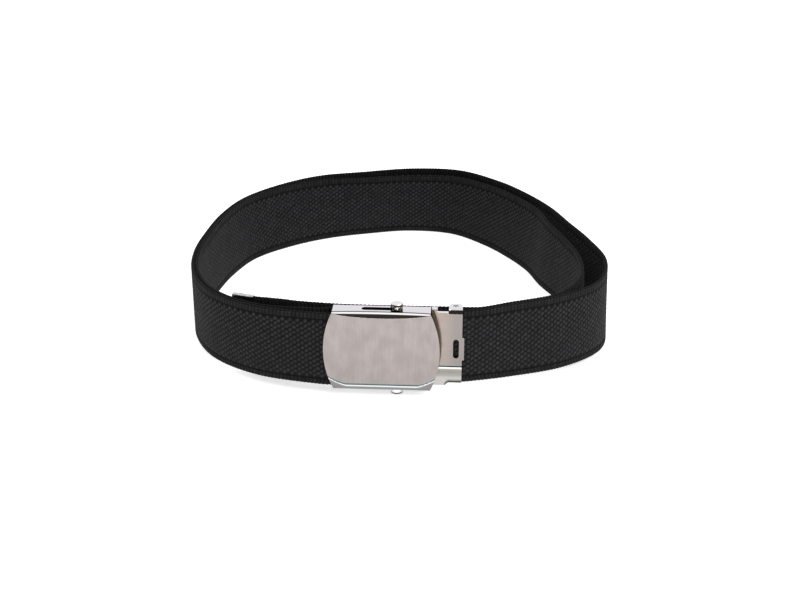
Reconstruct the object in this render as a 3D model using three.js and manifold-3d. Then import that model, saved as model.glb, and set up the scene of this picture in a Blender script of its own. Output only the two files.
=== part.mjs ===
// Canvas web belt, fastened and standing on edge as a loop of two turns.
// Millimetres, +Z up, the buckle towards -Y. The finished group stands on z = 0
// with the middle of its box over the origin.

import * as THREE from 'three';
import { mergeVertices } from 'three/addons/utils/BufferGeometryUtils.js';
import Module from 'manifold-3d';

// Web
const WEB_WIDTH = 38;
const WEB_THICK = 1.9;
const WEB_BEVEL = 0.45;
const WEB_STEP = 6.5;

// Loop: LOOP_REACH runs from the loop's middle to the front of the face plate
const LOOP_REACH = 119;
const LAYER_GAP = 0.3;
const LIFT_FULL_ANGLE = 15;
const LIFT_ZERO_ANGLE = 80;

// Clearances, web to metal and metal to metal
const WEB_FIT = 0.4;
const METAL_GAP = 0.3;

// Buckle box: a face plate whose sides bow out, with its top and bottom folded back
const SHEET = 0.8;
const FACE_SPAN = 46.6;
const FACE_MIDDLE_X = -2.1;
const FACE_BOW = 4.5;
const FACE_BEVEL_TALL = 3.3;
const FACE_BEVEL_SET = 0.4;
const FOLD_RADIUS = 0.9;
const FLANGE_DEPTH = 9.8;
const TRACK_LENGTH = 19.7;
const TRACK_MIDDLE_X = -1.85;
const TRACK_PLAY = 0.6;

// Locking roller
const ROLLER_DIAMETER = 5.2;
const ROLLER_X = 5;
const ROLLER_NECK_DIAMETER = 2.6;
const KNOB_DIAMETER = 6;
const KNOB_TALL = 3.7;
const KNOB_DOME = 2;
const ROLLER_SIDES = 20;
const DOME_STEPS = 4;

// Clamp frame at the right end of the buckle, with a notch in its upper edge
const CLAMP_STEP_BACK = 6.6;
const CLAMP_LENGTH = 14.7;
const CLAMP_HOLLOW = 4.8;
const CLAMP_LUG_LENGTH = 2.8;
const EAR_WIDTH = 6.5;
const EAR_DEPTH = 7.6;
const PIVOT_DIAMETER = 1.4;
const TAB_LENGTH = 1;
const TAB_TALL = 12;
const WINDOW_WIDTH = 2.8;
const WINDOW_TALL = 10;
const WINDOW_INSET = 2.9;
const WINDOW_DROP = 0.5;
const NOTCH_DEPTH = 1.2;

// Clamp lever
const LEVER_THICK = 1.2;
const LEVER_LENGTH = 13;
const LEVER_END_INSET = 0.6;
const STUB_ROOT = 1;

// Metal tip on the free end
const TIP_LENGTH = 11.3;
const TIP_SHEET = 0.3;
const TIP_FIT = 0.15;

const ARC_SEGMENTS = 12;
const HALF_TURN_STEPS = 10;
const JOIN_LEAD = 3;

// Stations round the loop, by the angle from +X towards the back.
// reach: the outer layer's outer face, as a share of LOOP_REACH.
// spread: how much wider than LAYER_GAP the layers stand apart, as a share of LOOP_REACH.
// flare: how far the upper edge leans outwards, as a share of the height.
const LOOP_STATIONS = [
  { angle: -67, reach: 0.989, spread: 0, flare: 0 },
  { angle: -60, reach: 1.0, spread: 0, flare: -0.05 },
  { angle: -45, reach: 1.04, spread: 0.004, flare: -0.09 },
  { angle: -30, reach: 1.05, spread: 0.066, flare: -0.08 },
  { angle: -15, reach: 0.97, spread: 0.1, flare: 0 },
  { angle: 0, reach: 0.865, spread: 0.088, flare: 0.04 },
  { angle: 15, reach: 0.795, spread: 0.073, flare: 0.1 },
  { angle: 30, reach: 0.792, spread: 0.055, flare: 0.13 },
  { angle: 45, reach: 0.824, spread: 0.056, flare: 0.13 },
  { angle: 60, reach: 0.896, spread: 0.068, flare: 0.1 },
  { angle: 75, reach: 0.998, spread: 0.096, flare: 0 },
  { angle: 90, reach: 1.01, spread: 0.105, flare: -0.1 },
  { angle: 105, reach: 0.958, spread: 0.08, flare: -0.055 },
  { angle: 120, reach: 0.934, spread: 0.053, flare: 0.07 },
  { angle: 135, reach: 0.911, spread: 0.021, flare: 0.11 },
  { angle: 150, reach: 0.906, spread: 0, flare: 0.1 },
  { angle: 165, reach: 0.896, spread: 0, flare: 0.06 },
  { angle: 180, reach: 0.906, spread: 0, flare: 0.02 },
  { angle: 195, reach: 0.952, spread: 0, flare: 0 },
  { angle: 210, reach: 1.01, spread: 0, flare: 0 },
  { angle: 225, reach: 1.053, spread: 0, flare: 0.03 },
  { angle: 240, reach: 1.055, spread: 0.002, flare: 0.03 },
  { angle: 255, reach: 1.022, spread: 0.03, flare: 0 },
];

// Stations of the free end, inside the loop.
// inset: how far it stands off the inner layer beyond LAYER_GAP, as a share of LOOP_REACH.
const TAIL_STATIONS = [
  { angle: 256, inset: 0.031 },
  { angle: 247, inset: 0.047 },
  { angle: 243.5, inset: 0.056 },
  { angle: 238.5, inset: 0.05 },
  { angle: 235.3, inset: 0.035 },
  { angle: 230.6, inset: 0.002 },
];

const FABRIC = new THREE.MeshStandardMaterial({ color: 0x222126, roughness: 0.95, metalness: 0 });
const BRUSHED = new THREE.MeshStandardMaterial({ color: 0xbeb6b1, roughness: 0.35, metalness: 1 });
const PLATED = new THREE.MeshStandardMaterial({ color: 0xc9c0b8, roughness: 0.25, metalness: 1 });
const CHROME = new THREE.MeshStandardMaterial({ color: 0xe4e4e8, roughness: 0.12, metalness: 1 });
const STEEL = new THREE.MeshStandardMaterial({ color: 0xa9a7a6, roughness: 0.35, metalness: 1 });
const NICKEL = new THREE.MeshStandardMaterial({ color: 0xd4d4d6, roughness: 0.18, metalness: 1 });

// Depths behind the face plate's front, measured along +Y
const FACE_Y = -LOOP_REACH;
const OUTER_LAYER_Y = FACE_Y + SHEET + WEB_FIT + WEB_THICK / 2;
const ROLLER_Y = OUTER_LAYER_Y + WEB_THICK / 2 + METAL_GAP + ROLLER_DIAMETER / 2;
const INNER_LAYER_Y = 2 * ROLLER_Y - OUTER_LAYER_Y;
const CLAMP_Y = FACE_Y + CLAMP_STEP_BACK;
const CUT_END_Y = CLAMP_Y + SHEET + WEB_FIT + WEB_THICK / 2;
const LEVER_Y = CUT_END_Y + WEB_THICK / 2 + WEB_FIT;
const TAIL_Y = Math.max(
  LEVER_Y + LEVER_THICK + WEB_FIT,
  INNER_LAYER_Y + WEB_THICK / 2 + LAYER_GAP,
) + WEB_THICK / 2;

// Heights: the lower knob stands on the ground and carries the box
const BOX_BOTTOM = KNOB_TALL + METAL_GAP;
const WEB_LIFT = BOX_BOTTOM + SHEET + WEB_FIT;
const BOX_TALL = WEB_WIDTH + 2 * (WEB_FIT + SHEET);
const BOX_TOP = BOX_BOTTOM + BOX_TALL;
const BOX_MIDDLE = BOX_BOTTOM + BOX_TALL / 2;

// Places along X
const FACE_LEFT = FACE_MIDDLE_X - FACE_SPAN / 2;
const FACE_RIGHT = FACE_MIDDLE_X + FACE_SPAN / 2;
const CLAMP_LEFT = FACE_RIGHT + METAL_GAP;
const CLAMP_RIGHT = CLAMP_LEFT + CLAMP_LENGTH;
const CUT_END_X = CLAMP_LEFT + CLAMP_LUG_LENGTH / 2;
const PIVOT_X = CLAMP_RIGHT - EAR_WIDTH / 2;
const PIVOT_Y = LEVER_Y + LEVER_THICK / 2;
const TAIL_STRAIGHT_END_X = FACE_LEFT / 2;

const FRONT_ANGLE = 270;
const FULL_TURN = 360;
const HALF_TURN = FULL_TURN / 2;

const wasm = await Module();
wasm.setup();

// A closed geometry as a solid that can be joined and cut
function solidOf(geometry) {
  geometry.deleteAttribute('normal');
  geometry.deleteAttribute('uv');
  const merged = mergeVertices(geometry);
  return new wasm.Manifold(new wasm.Mesh({
    numProp: 3,
    vertProperties: merged.getAttribute('position').array,
    triVerts: new Uint32Array(merged.getIndex().array),
  }));
}

function geometryOf(solid) {
  const mesh = solid.getMesh();
  const geometry = new THREE.BufferGeometry();
  geometry.setAttribute('position', new THREE.BufferAttribute(mesh.vertProperties, mesh.numProp));
  geometry.setIndex(new THREE.BufferAttribute(mesh.triVerts, 1));
  geometry.computeVertexNormals();
  return geometry;
}

function namedMesh(name, geometry, material) {
  const mesh = new THREE.Mesh(geometry, material);
  mesh.name = name;
  return mesh;
}

function extruded(shape, depth) {
  return new THREE.ExtrudeGeometry(shape, {
    depth,
    bevelEnabled: false,
    curveSegments: ARC_SEGMENTS,
  });
}

// An outline drawn in Y and Z, run along X from left to right
function alongX(shape, left, right) {
  const turn = new THREE.Matrix4().makeBasis(
    new THREE.Vector3(0, 1, 0),
    new THREE.Vector3(0, 0, 1),
    new THREE.Vector3(1, 0, 0),
  );
  return solidOf(extruded(shape, right - left).applyMatrix4(turn).translate(left, 0, 0));
}

// An outline drawn in X and Z, run along Y from front to back
function alongY(shape, front, back) {
  return solidOf(extruded(shape, back - front).rotateX(Math.PI / 2).translate(0, back, 0));
}

// An outline drawn in X and Y, run up from bottom to top
function alongZ(shape, bottom, top) {
  return solidOf(extruded(shape, top - bottom).translate(0, 0, bottom));
}

function polygon(corners) {
  return new THREE.Shape(corners.map(([u, v]) => new THREE.Vector2(u, v)));
}

function rectangle(left, bottom, right, top) {
  return polygon([[left, bottom], [right, bottom], [right, top], [left, top]]);
}

// A slot outline with round ends, its long way along X
function flatSlot(middleX, middleY, length, width) {
  const radius = width / 2;
  const reach = length / 2 - radius;
  const shape = new THREE.Shape();
  shape.absarc(middleX + reach, middleY, radius, -Math.PI / 2, Math.PI / 2, false);
  shape.absarc(middleX - reach, middleY, radius, Math.PI / 2, 1.5 * Math.PI, false);
  return shape;
}

// The same slot with its long way along the second axis
function uprightSlot(middleX, middleZ, width, tall) {
  const radius = width / 2;
  const reach = tall / 2 - radius;
  const shape = new THREE.Shape();
  shape.absarc(middleX, middleZ + reach, radius, 0, Math.PI, false);
  shape.absarc(middleX, middleZ - reach, radius, Math.PI, 2 * Math.PI, false);
  return shape;
}

function disc(middleX, middleY, diameter) {
  const shape = new THREE.Shape();
  shape.absarc(middleX, middleY, diameter / 2, 0, 2 * Math.PI, false);
  return shape;
}

// Points of an arc that bows by bow to the right of x, from bottom to top
function bowedEdge(x, bow, bottom, top) {
  const half = (top - bottom) / 2;
  const radius = (half * half + bow * bow) / (2 * bow);
  const sweep = Math.asin(half / radius);
  const points = [];
  for (let step = 0; step <= ARC_SEGMENTS; step += 1) {
    const turn = sweep * (2 * step / ARC_SEGMENTS - 1);
    points.push([x + bow - radius + radius * Math.cos(turn), bottom + half + radius * Math.sin(turn)]);
  }
  return points;
}

// One column of the loop's stations, smoothed between them
function stationValue(column, angle) {
  const last = LOOP_STATIONS.length - 1;
  if (angle <= LOOP_STATIONS[0].angle) return LOOP_STATIONS[0][column];
  if (angle >= LOOP_STATIONS[last].angle) return LOOP_STATIONS[last][column];
  const next = LOOP_STATIONS.findIndex((station) => station.angle > angle);
  const before = LOOP_STATIONS[next - 1];
  const after = LOOP_STATIONS[next];
  const share = (angle - before.angle) / (after.angle - before.angle);
  return before[column] + (after[column] - before[column]) * THREE.MathUtils.smoothstep(share, 0, 1);
}

function atAngle(angle, radius) {
  const turn = THREE.MathUtils.degToRad(angle);
  return new THREE.Vector3(radius * Math.cos(turn), radius * Math.sin(turn), 0);
}

function outerRadius(angle) {
  return LOOP_REACH * stationValue('reach', angle) - WEB_THICK / 2;
}

function innerRadius(angle) {
  return outerRadius(angle) - WEB_THICK - LAYER_GAP - LOOP_REACH * stationValue('spread', angle);
}

function tailRadius(angle, inset) {
  return innerRadius(angle) - WEB_THICK - LAYER_GAP - LOOP_REACH * inset;
}

// The plan angle of a point, counted up from the first station
function planAngle(point) {
  const angle = THREE.MathUtils.radToDeg(Math.atan2(point.y, point.x));
  return angle < FRONT_ANGLE - FULL_TURN ? angle + FULL_TURN : angle;
}

// The web lies on the ground at the back and is lifted by the buckle in front
function liftAt(point) {
  const past = (planAngle(point) - FRONT_ANGLE + FULL_TURN + HALF_TURN) % FULL_TURN;
  const away = Math.abs(past - HALF_TURN);
  return WEB_LIFT * (1 - THREE.MathUtils.smoothstep(away, LIFT_FULL_ANGLE, LIFT_ZERO_ANGLE));
}

function lifted(point) {
  return new THREE.Vector3(point.x, point.y, liftAt(point));
}

function spacedRun(points) {
  const curve = new THREE.CatmullRomCurve3(points, false, 'centripetal');
  curve.arcLengthDivisions = points.length * ARC_SEGMENTS;
  return curve.getSpacedPoints(Math.ceil(curve.getLength() / WEB_STEP)).map(lifted);
}

// The tip's line: its outer end, and the direction that it points
const TIP_END = atAngle(
  TAIL_STATIONS[TAIL_STATIONS.length - 1].angle,
  tailRadius(TAIL_STATIONS[TAIL_STATIONS.length - 1].angle, TAIL_STATIONS[TAIL_STATIONS.length - 1].inset),
);
const TIP_ROOT = atAngle(
  TAIL_STATIONS[TAIL_STATIONS.length - 2].angle,
  tailRadius(TAIL_STATIONS[TAIL_STATIONS.length - 2].angle, TAIL_STATIONS[TAIL_STATIONS.length - 2].inset),
);
const TIP_DIRECTION = TIP_END.clone().sub(TIP_ROOT).normalize();
const TIP_MOUTH = TIP_END.clone().addScaledVector(TIP_DIRECTION, -TIP_LENGTH);

// The web's middle line in plan, from its cut end in the clamp to the free end in the tip
function webPlan() {
  const firstRun = [
    new THREE.Vector3(CUT_END_X, CUT_END_Y, 0),
    new THREE.Vector3(CLAMP_RIGHT - JOIN_LEAD, CUT_END_Y, 0),
    new THREE.Vector3(CLAMP_RIGHT, CUT_END_Y, 0),
    ...LOOP_STATIONS.map(({ angle }) => atAngle(angle, outerRadius(angle))),
    new THREE.Vector3(FACE_LEFT, OUTER_LAYER_Y, 0),
    new THREE.Vector3(FACE_LEFT + JOIN_LEAD, OUTER_LAYER_Y, 0),
    new THREE.Vector3(ROLLER_X, OUTER_LAYER_Y, 0),
  ];
  const wrap = [];
  const wrapRadius = ROLLER_Y - OUTER_LAYER_Y;
  for (let step = 1; step < HALF_TURN_STEPS; step += 1) {
    const turn = Math.PI * (step / HALF_TURN_STEPS - 1 / 2);
    wrap.push(lifted(new THREE.Vector3(
      ROLLER_X + wrapRadius * Math.cos(turn),
      ROLLER_Y + wrapRadius * Math.sin(turn),
      0,
    )));
  }
  const secondRun = [
    new THREE.Vector3(ROLLER_X, INNER_LAYER_Y, 0),
    new THREE.Vector3(FACE_LEFT + JOIN_LEAD, INNER_LAYER_Y, 0),
    new THREE.Vector3(FACE_LEFT, INNER_LAYER_Y, 0),
    ...LOOP_STATIONS.map(({ angle }) => atAngle(angle, innerRadius(angle))).reverse(),
    new THREE.Vector3(CLAMP_RIGHT, TAIL_Y, 0),
    new THREE.Vector3(CLAMP_RIGHT - JOIN_LEAD, TAIL_Y, 0),
    new THREE.Vector3(TAIL_STRAIGHT_END_X, TAIL_Y, 0),
    ...TAIL_STATIONS.slice(0, -2).map(({ angle, inset }) => atAngle(angle, tailRadius(angle, inset))),
    TIP_MOUTH.clone().addScaledVector(TIP_DIRECTION, -JOIN_LEAD),
    TIP_MOUTH,
  ];
  const webEnd = TIP_END.clone().addScaledVector(TIP_DIRECTION, -(TIP_SHEET + TIP_FIT));
  webEnd.z = liftAt(TIP_MOUTH);
  return [...spacedRun(firstRun), ...wrap, ...spacedRun(secondRun), webEnd];
}

// The web's section: offset across its thickness, height above its lower edge
function webSection() {
  const half = WEB_THICK / 2;
  const flat = half - WEB_BEVEL;
  return [
    [-flat, 0],
    [flat, 0],
    [half, WEB_BEVEL],
    [half, WEB_WIDTH - WEB_BEVEL],
    [flat, WEB_WIDTH],
    [-flat, WEB_WIDTH],
    [-half, WEB_WIDTH - WEB_BEVEL],
    [-half, WEB_BEVEL],
  ];
}

// The direction of a run at one of its points, halfway between its two neighbours' directions
function directionAt(points, index) {
  const here = points[index];
  const before = points[Math.max(index - 1, 0)];
  const after = points[Math.min(index + 1, points.length - 1)];
  const arriving = here.clone().sub(before).setZ(0).normalize();
  const leaving = after.clone().sub(here).setZ(0).normalize();
  return arriving.add(leaving).normalize();
}

function webStrap() {
  const points = webPlan();
  const section = webSection();
  const positions = [];
  points.forEach((point, index) => {
    const direction = directionAt(points, index);
    const side = new THREE.Vector3(-direction.y, direction.x, 0);
    const outward = Math.sign(side.dot(point)) || 1;
    const lean = outward * stationValue('flare', planAngle(point));
    section.forEach(([offset, height]) => {
      const place = point.clone().addScaledVector(side, offset + lean * height);
      positions.push(place.x, place.y, point.z + height);
    });
  });
  const sides = section.length;
  const indices = [];
  for (let ring = 0; ring < points.length - 1; ring += 1) {
    for (let corner = 0; corner < sides; corner += 1) {
      const a = ring * sides + corner;
      const b = ring * sides + (corner + 1) % sides;
      indices.push(a, b, b + sides, a, b + sides, a + sides);
    }
  }
  const lastRing = (points.length - 1) * sides;
  for (let corner = 1; corner < sides - 1; corner += 1) {
    indices.push(0, corner + 1, corner);
    indices.push(lastRing, lastRing + corner, lastRing + corner + 1);
  }
  const geometry = new THREE.BufferGeometry();
  geometry.setAttribute('position', new THREE.Float32BufferAttribute(positions, 3));
  geometry.setIndex(indices);
  geometry.computeVertexNormals();
  return namedMesh('web_strap', geometry, FABRIC);
}

// The face plate's section in depth and height, one sheet thick, open to the back
function faceSection() {
  const back = FACE_Y + FLANGE_DEPTH;
  const set = FACE_Y + FACE_BEVEL_SET;
  const inner = FACE_Y + SHEET;
  return polygon([
    [back, BOX_BOTTOM],
    [set + FOLD_RADIUS, BOX_BOTTOM],
    [set, BOX_BOTTOM + FOLD_RADIUS],
    [FACE_Y, BOX_BOTTOM + FACE_BEVEL_TALL],
    [FACE_Y, BOX_TOP - FACE_BEVEL_TALL],
    [set, BOX_TOP - FOLD_RADIUS],
    [set + FOLD_RADIUS, BOX_TOP],
    [back, BOX_TOP],
    [back, BOX_TOP - SHEET],
    [set + SHEET, BOX_TOP - SHEET],
    [inner, BOX_TOP - FACE_BEVEL_TALL],
    [inner, BOX_BOTTOM + FACE_BEVEL_TALL],
    [set + SHEET, BOX_BOTTOM + SHEET],
    [back, BOX_BOTTOM + SHEET],
  ].reverse());
}

function buckleFace() {
  const rightEdge = bowedEdge(FACE_RIGHT, FACE_BOW, BOX_BOTTOM, BOX_TOP);
  const leftEdge = rightEdge.map(([x, z]) => [2 * FACE_MIDDLE_X - x, z]).reverse();
  const plateBack = FACE_Y + FACE_BEVEL_SET + SHEET;
  const plate = alongY(polygon([...rightEdge, ...leftEdge]), FACE_Y - SHEET, plateBack);
  const flanges = alongY(
    rectangle(FACE_LEFT, BOX_BOTTOM - SHEET, FACE_RIGHT, BOX_TOP + SHEET),
    FACE_Y + SHEET,
    FACE_Y + FLANGE_DEPTH + SHEET,
  );
  const channel = alongX(faceSection(), FACE_LEFT - 2 * FACE_BOW, FACE_RIGHT + 2 * FACE_BOW);
  const track = alongZ(
    flatSlot(TRACK_MIDDLE_X, ROLLER_Y, TRACK_LENGTH, ROLLER_NECK_DIAMETER + TRACK_PLAY),
    BOX_BOTTOM - SHEET,
    BOX_TOP + SHEET,
  );
  const solid = channel.intersect(plate.add(flanges)).subtract(track);
  return namedMesh('buckle_face', geometryOf(solid), BRUSHED);
}

function lockingRoller() {
  const knobRadius = KNOB_DIAMETER / 2;
  const neckRadius = ROLLER_NECK_DIAMETER / 2;
  const barRadius = ROLLER_DIAMETER / 2;
  const lowerHalf = [];
  for (let step = 0; step <= DOME_STEPS; step += 1) {
    const turn = (Math.PI / 2) * (step / DOME_STEPS);
    lowerHalf.push([knobRadius * Math.sin(turn), KNOB_DOME * (1 - Math.cos(turn))]);
  }
  lowerHalf.push([knobRadius, KNOB_TALL]);
  lowerHalf.push([neckRadius, KNOB_TALL]);
  lowerHalf.push([neckRadius, WEB_LIFT]);
  lowerHalf.push([barRadius, WEB_LIFT]);
  const upperHalf = lowerHalf.map(([radius, z]) => [radius, 2 * BOX_MIDDLE - z]).reverse();
  const profile = [...lowerHalf, ...upperHalf].map(([radius, z]) => new THREE.Vector2(radius, z));
  const geometry = new THREE.LatheGeometry(profile, ROLLER_SIDES).rotateX(Math.PI / 2);
  const mesh = namedMesh('locking_roller', geometry, CHROME);
  mesh.position.set(ROLLER_X, ROLLER_Y, 0);
  return mesh;
}

// One folded edge of the clamp frame: a lug by the box, the plate's own edge, and a round ear
function clampFlange(bottom) {
  const lugBack = FACE_Y + FLANGE_DEPTH;
  const earRadius = EAR_WIDTH / 2;
  const earMiddleY = CLAMP_Y + EAR_DEPTH - earRadius;
  const lug = rectangle(CLAMP_LEFT, CLAMP_Y, CLAMP_LEFT + CLAMP_LUG_LENGTH, lugBack);
  const edge = rectangle(CLAMP_LEFT, CLAMP_Y, CLAMP_RIGHT, CLAMP_Y + SHEET);
  const ear = new THREE.Shape();
  ear.moveTo(CLAMP_RIGHT - EAR_WIDTH, CLAMP_Y);
  ear.lineTo(CLAMP_RIGHT, CLAMP_Y);
  ear.lineTo(CLAMP_RIGHT, earMiddleY);
  ear.absarc(PIVOT_X, earMiddleY, earRadius, 0, Math.PI, false);
  const top = bottom + SHEET;
  const pivotHole = alongZ(
    disc(PIVOT_X, PIVOT_Y, PIVOT_DIAMETER + 2 * METAL_GAP),
    bottom - SHEET,
    top + SHEET,
  );
  return alongZ(lug, bottom, top)
    .add(alongZ(edge, bottom, top))
    .add(alongZ(ear, bottom, top))
    .subtract(pivotHole);
}

function clampFrame() {
  const hollow = bowedEdge(CLAMP_LEFT, CLAMP_HOLLOW, BOX_BOTTOM, BOX_TOP).reverse();
  const plate = polygon([[CLAMP_RIGHT, BOX_BOTTOM], [CLAMP_RIGHT, BOX_TOP], ...hollow]);
  const windowMiddle = BOX_MIDDLE - WINDOW_DROP;
  const tab = rectangle(
    CLAMP_RIGHT - SHEET,
    windowMiddle - TAB_TALL / 2,
    CLAMP_RIGHT + TAB_LENGTH,
    windowMiddle + TAB_TALL / 2,
  );
  const window = uprightSlot(CLAMP_RIGHT - WINDOW_INSET, windowMiddle, WINDOW_WIDTH, WINDOW_TALL);
  const notch = rectangle(
    CLAMP_LEFT + CLAMP_LUG_LENGTH,
    BOX_TOP - NOTCH_DEPTH,
    CLAMP_RIGHT - EAR_WIDTH,
    BOX_TOP + SHEET,
  );
  const solid = alongY(plate, CLAMP_Y, CLAMP_Y + SHEET)
    .add(alongY(tab, CLAMP_Y, CLAMP_Y + SHEET))
    .subtract(alongY(window, CLAMP_Y - SHEET, CLAMP_Y + 2 * SHEET))
    .add(clampFlange(BOX_BOTTOM))
    .add(clampFlange(BOX_TOP - SHEET))
    .subtract(alongY(notch, CLAMP_Y - SHEET, CLAMP_Y + 2 * SHEET));
  return namedMesh('clamp_frame', geometryOf(solid), PLATED);
}

function clampLever() {
  const right = CLAMP_RIGHT - LEVER_END_INSET;
  const bottom = BOX_BOTTOM + SHEET + METAL_GAP;
  const top = BOX_TOP - SHEET - METAL_GAP;
  const plate = alongZ(rectangle(right - LEVER_LENGTH, LEVER_Y, right, LEVER_Y + LEVER_THICK), bottom, top);
  const stub = disc(PIVOT_X, PIVOT_Y, PIVOT_DIAMETER);
  const solid = plate
    .add(alongZ(stub, BOX_BOTTOM, bottom + STUB_ROOT))
    .add(alongZ(stub, top - STUB_ROOT, BOX_TOP));
  return namedMesh('clamp_lever', geometryOf(solid), STEEL);
}

// A flat metal sleeve over the web's free end, closed on all sides but its mouth
function strapTip() {
  const shell = TIP_FIT + TIP_SHEET;
  const halfThick = WEB_THICK / 2;
  const outer = rectangle(-TIP_LENGTH, -halfThick - shell, 0, halfThick + shell);
  const pocket = rectangle(-2 * TIP_LENGTH, -halfThick - TIP_FIT, -TIP_SHEET, halfThick + TIP_FIT);
  const solid = alongZ(outer, -shell, WEB_WIDTH + shell)
    .subtract(alongZ(pocket, -TIP_FIT, WEB_WIDTH + TIP_FIT));
  const mesh = namedMesh('strap_tip', geometryOf(solid), NICKEL);
  const lean = -Math.atan(stationValue('flare', planAngle(TIP_MOUTH)));
  const heading = Math.atan2(TIP_DIRECTION.y, TIP_DIRECTION.x);
  mesh.position.set(TIP_END.x, TIP_END.y, liftAt(TIP_MOUTH));
  mesh.rotation.set(lean, 0, heading, 'ZYX');
  return mesh;
}

const buckle = new THREE.Group();
buckle.add(buckleFace(), clampFrame(), clampLever(), lockingRoller());

const belt = new THREE.Group();
belt.add(webStrap(), buckle, strapTip());

// The middle of the belt's box over the origin, its lowest point on z = 0
const box = new THREE.Box3().setFromObject(belt);
const middle = box.getCenter(new THREE.Vector3());
belt.position.set(-middle.x, -middle.y, -box.min.z);

const group = new THREE.Group();
group.add(belt);

export default group;
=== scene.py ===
import math

import bmesh
import bpy
import numpy as np
from bpy.props import FloatProperty, FloatVectorProperty, PointerProperty
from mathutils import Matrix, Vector
from mathutils.geometry import delaunay_2d_cdt


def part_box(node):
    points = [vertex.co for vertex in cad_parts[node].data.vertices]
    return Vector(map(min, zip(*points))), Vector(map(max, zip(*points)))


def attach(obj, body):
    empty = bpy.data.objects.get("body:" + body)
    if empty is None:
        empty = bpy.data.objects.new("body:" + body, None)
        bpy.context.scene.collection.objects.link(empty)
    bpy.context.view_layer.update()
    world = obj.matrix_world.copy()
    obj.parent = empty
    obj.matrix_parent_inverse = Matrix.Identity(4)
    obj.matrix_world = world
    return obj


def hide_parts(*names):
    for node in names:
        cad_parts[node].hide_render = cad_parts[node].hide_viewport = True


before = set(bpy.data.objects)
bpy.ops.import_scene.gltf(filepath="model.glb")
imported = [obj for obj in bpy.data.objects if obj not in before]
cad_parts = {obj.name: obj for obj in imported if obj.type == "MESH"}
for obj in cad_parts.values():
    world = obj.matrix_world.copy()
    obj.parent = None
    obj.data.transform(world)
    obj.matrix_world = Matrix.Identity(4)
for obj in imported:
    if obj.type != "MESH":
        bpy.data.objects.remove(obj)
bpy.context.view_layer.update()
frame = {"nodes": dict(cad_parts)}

bl_info = {
    "name": "Canvas Web Belt",
    "version": (1, 0, 0),
    "blender": (4, 5, 0),
    "location": "View3D > Sidebar > Web Belt",
    "description": "Builds a woven web belt with a plated box buckle round its CAD frame",
    "category": "Add Mesh",
}

MM = 0.001
BODY = "root"

# Sizes of the part, in millimetres, the same as in the CAD source
WEB_WIDTH = 38.0
WEB_THICK = 1.9
LOOP_REACH = 119.0
LAYER_GAP = 0.3
LIFT_FULL_ANGLE = 15.0
LIFT_ZERO_ANGLE = 80.0
WEB_FIT = 0.4
METAL_GAP = 0.3
SHEET = 0.8
FACE_SPAN = 46.6
FACE_MIDDLE_X = -2.1
FACE_BOW = 4.5
FLANGE_DEPTH = 9.8
TRACK_LENGTH = 19.7
TRACK_MIDDLE_X = -1.85
ROLLER_DIAMETER = 5.2
ROLLER_X = 5.0
ROLLER_NECK_DIAMETER = 2.6
KNOB_DIAMETER = 6.0
KNOB_TALL = 3.7
CLAMP_STEP_BACK = 6.6
CLAMP_LENGTH = 14.7
CLAMP_HOLLOW = 4.8
CLAMP_LUG_LENGTH = 2.8
EAR_WIDTH = 6.5
EAR_DEPTH = 7.6
PIVOT_DIAMETER = 1.4
TAB_LENGTH = 1.0
TAB_TALL = 12.0
WINDOW_WIDTH = 2.8
WINDOW_TALL = 10.0
WINDOW_INSET = 2.9
WINDOW_DROP = 0.5
LEVER_THICK = 1.2
TIP_LENGTH = 11.3
TIP_SHEET = 0.3
TIP_FIT = 0.15
JOIN_LEAD = 3.0
FRONT_ANGLE = 270.0

# Stations round the loop: angle from +X towards the back, reach, spread, flare
LOOP_STATIONS = (
    (-67, 0.989, 0, 0),
    (-60, 1.0, 0, -0.05),
    (-45, 1.04, 0.004, -0.09),
    (-30, 1.05, 0.066, -0.08),
    (-15, 0.97, 0.1, 0),
    (0, 0.865, 0.088, 0.04),
    (15, 0.795, 0.073, 0.1),
    (30, 0.792, 0.055, 0.13),
    (45, 0.824, 0.056, 0.13),
    (60, 0.896, 0.068, 0.1),
    (75, 0.998, 0.096, 0),
    (90, 1.01, 0.105, -0.1),
    (105, 0.958, 0.08, -0.055),
    (120, 0.934, 0.053, 0.07),
    (135, 0.911, 0.021, 0.11),
    (150, 0.906, 0, 0.1),
    (165, 0.896, 0, 0.06),
    (180, 0.906, 0, 0.02),
    (195, 0.952, 0, 0),
    (210, 1.01, 0, 0),
    (225, 1.053, 0, 0.03),
    (240, 1.055, 0.002, 0.03),
    (255, 1.022, 0.03, 0),
)

# Stations of the free end inside the loop: angle, inset
TAIL_STATIONS = (
    (256, 0.031),
    (247, 0.047),
    (243.5, 0.056),
    (238.5, 0.05),
    (235.3, 0.035),
    (230.6, 0.002),
)

# Places that follow from the sizes
FACE_Y = -LOOP_REACH
OUTER_LAYER_Y = FACE_Y + SHEET + WEB_FIT + WEB_THICK / 2
ROLLER_Y = OUTER_LAYER_Y + WEB_THICK / 2 + METAL_GAP + ROLLER_DIAMETER / 2
INNER_LAYER_Y = 2 * ROLLER_Y - OUTER_LAYER_Y
CLAMP_Y = FACE_Y + CLAMP_STEP_BACK
CUT_END_Y = CLAMP_Y + SHEET + WEB_FIT + WEB_THICK / 2
LEVER_Y = CUT_END_Y + WEB_THICK / 2 + WEB_FIT
TAIL_Y = LEVER_Y + LEVER_THICK + WEB_FIT + WEB_THICK / 2
BOX_BOTTOM = KNOB_TALL + METAL_GAP
WEB_LIFT = BOX_BOTTOM + SHEET + WEB_FIT
BOX_TALL = WEB_WIDTH + 2 * (WEB_FIT + SHEET)
BOX_TOP = BOX_BOTTOM + BOX_TALL
BOX_MIDDLE = BOX_BOTTOM + BOX_TALL / 2
FACE_LEFT = FACE_MIDDLE_X - FACE_SPAN / 2
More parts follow.
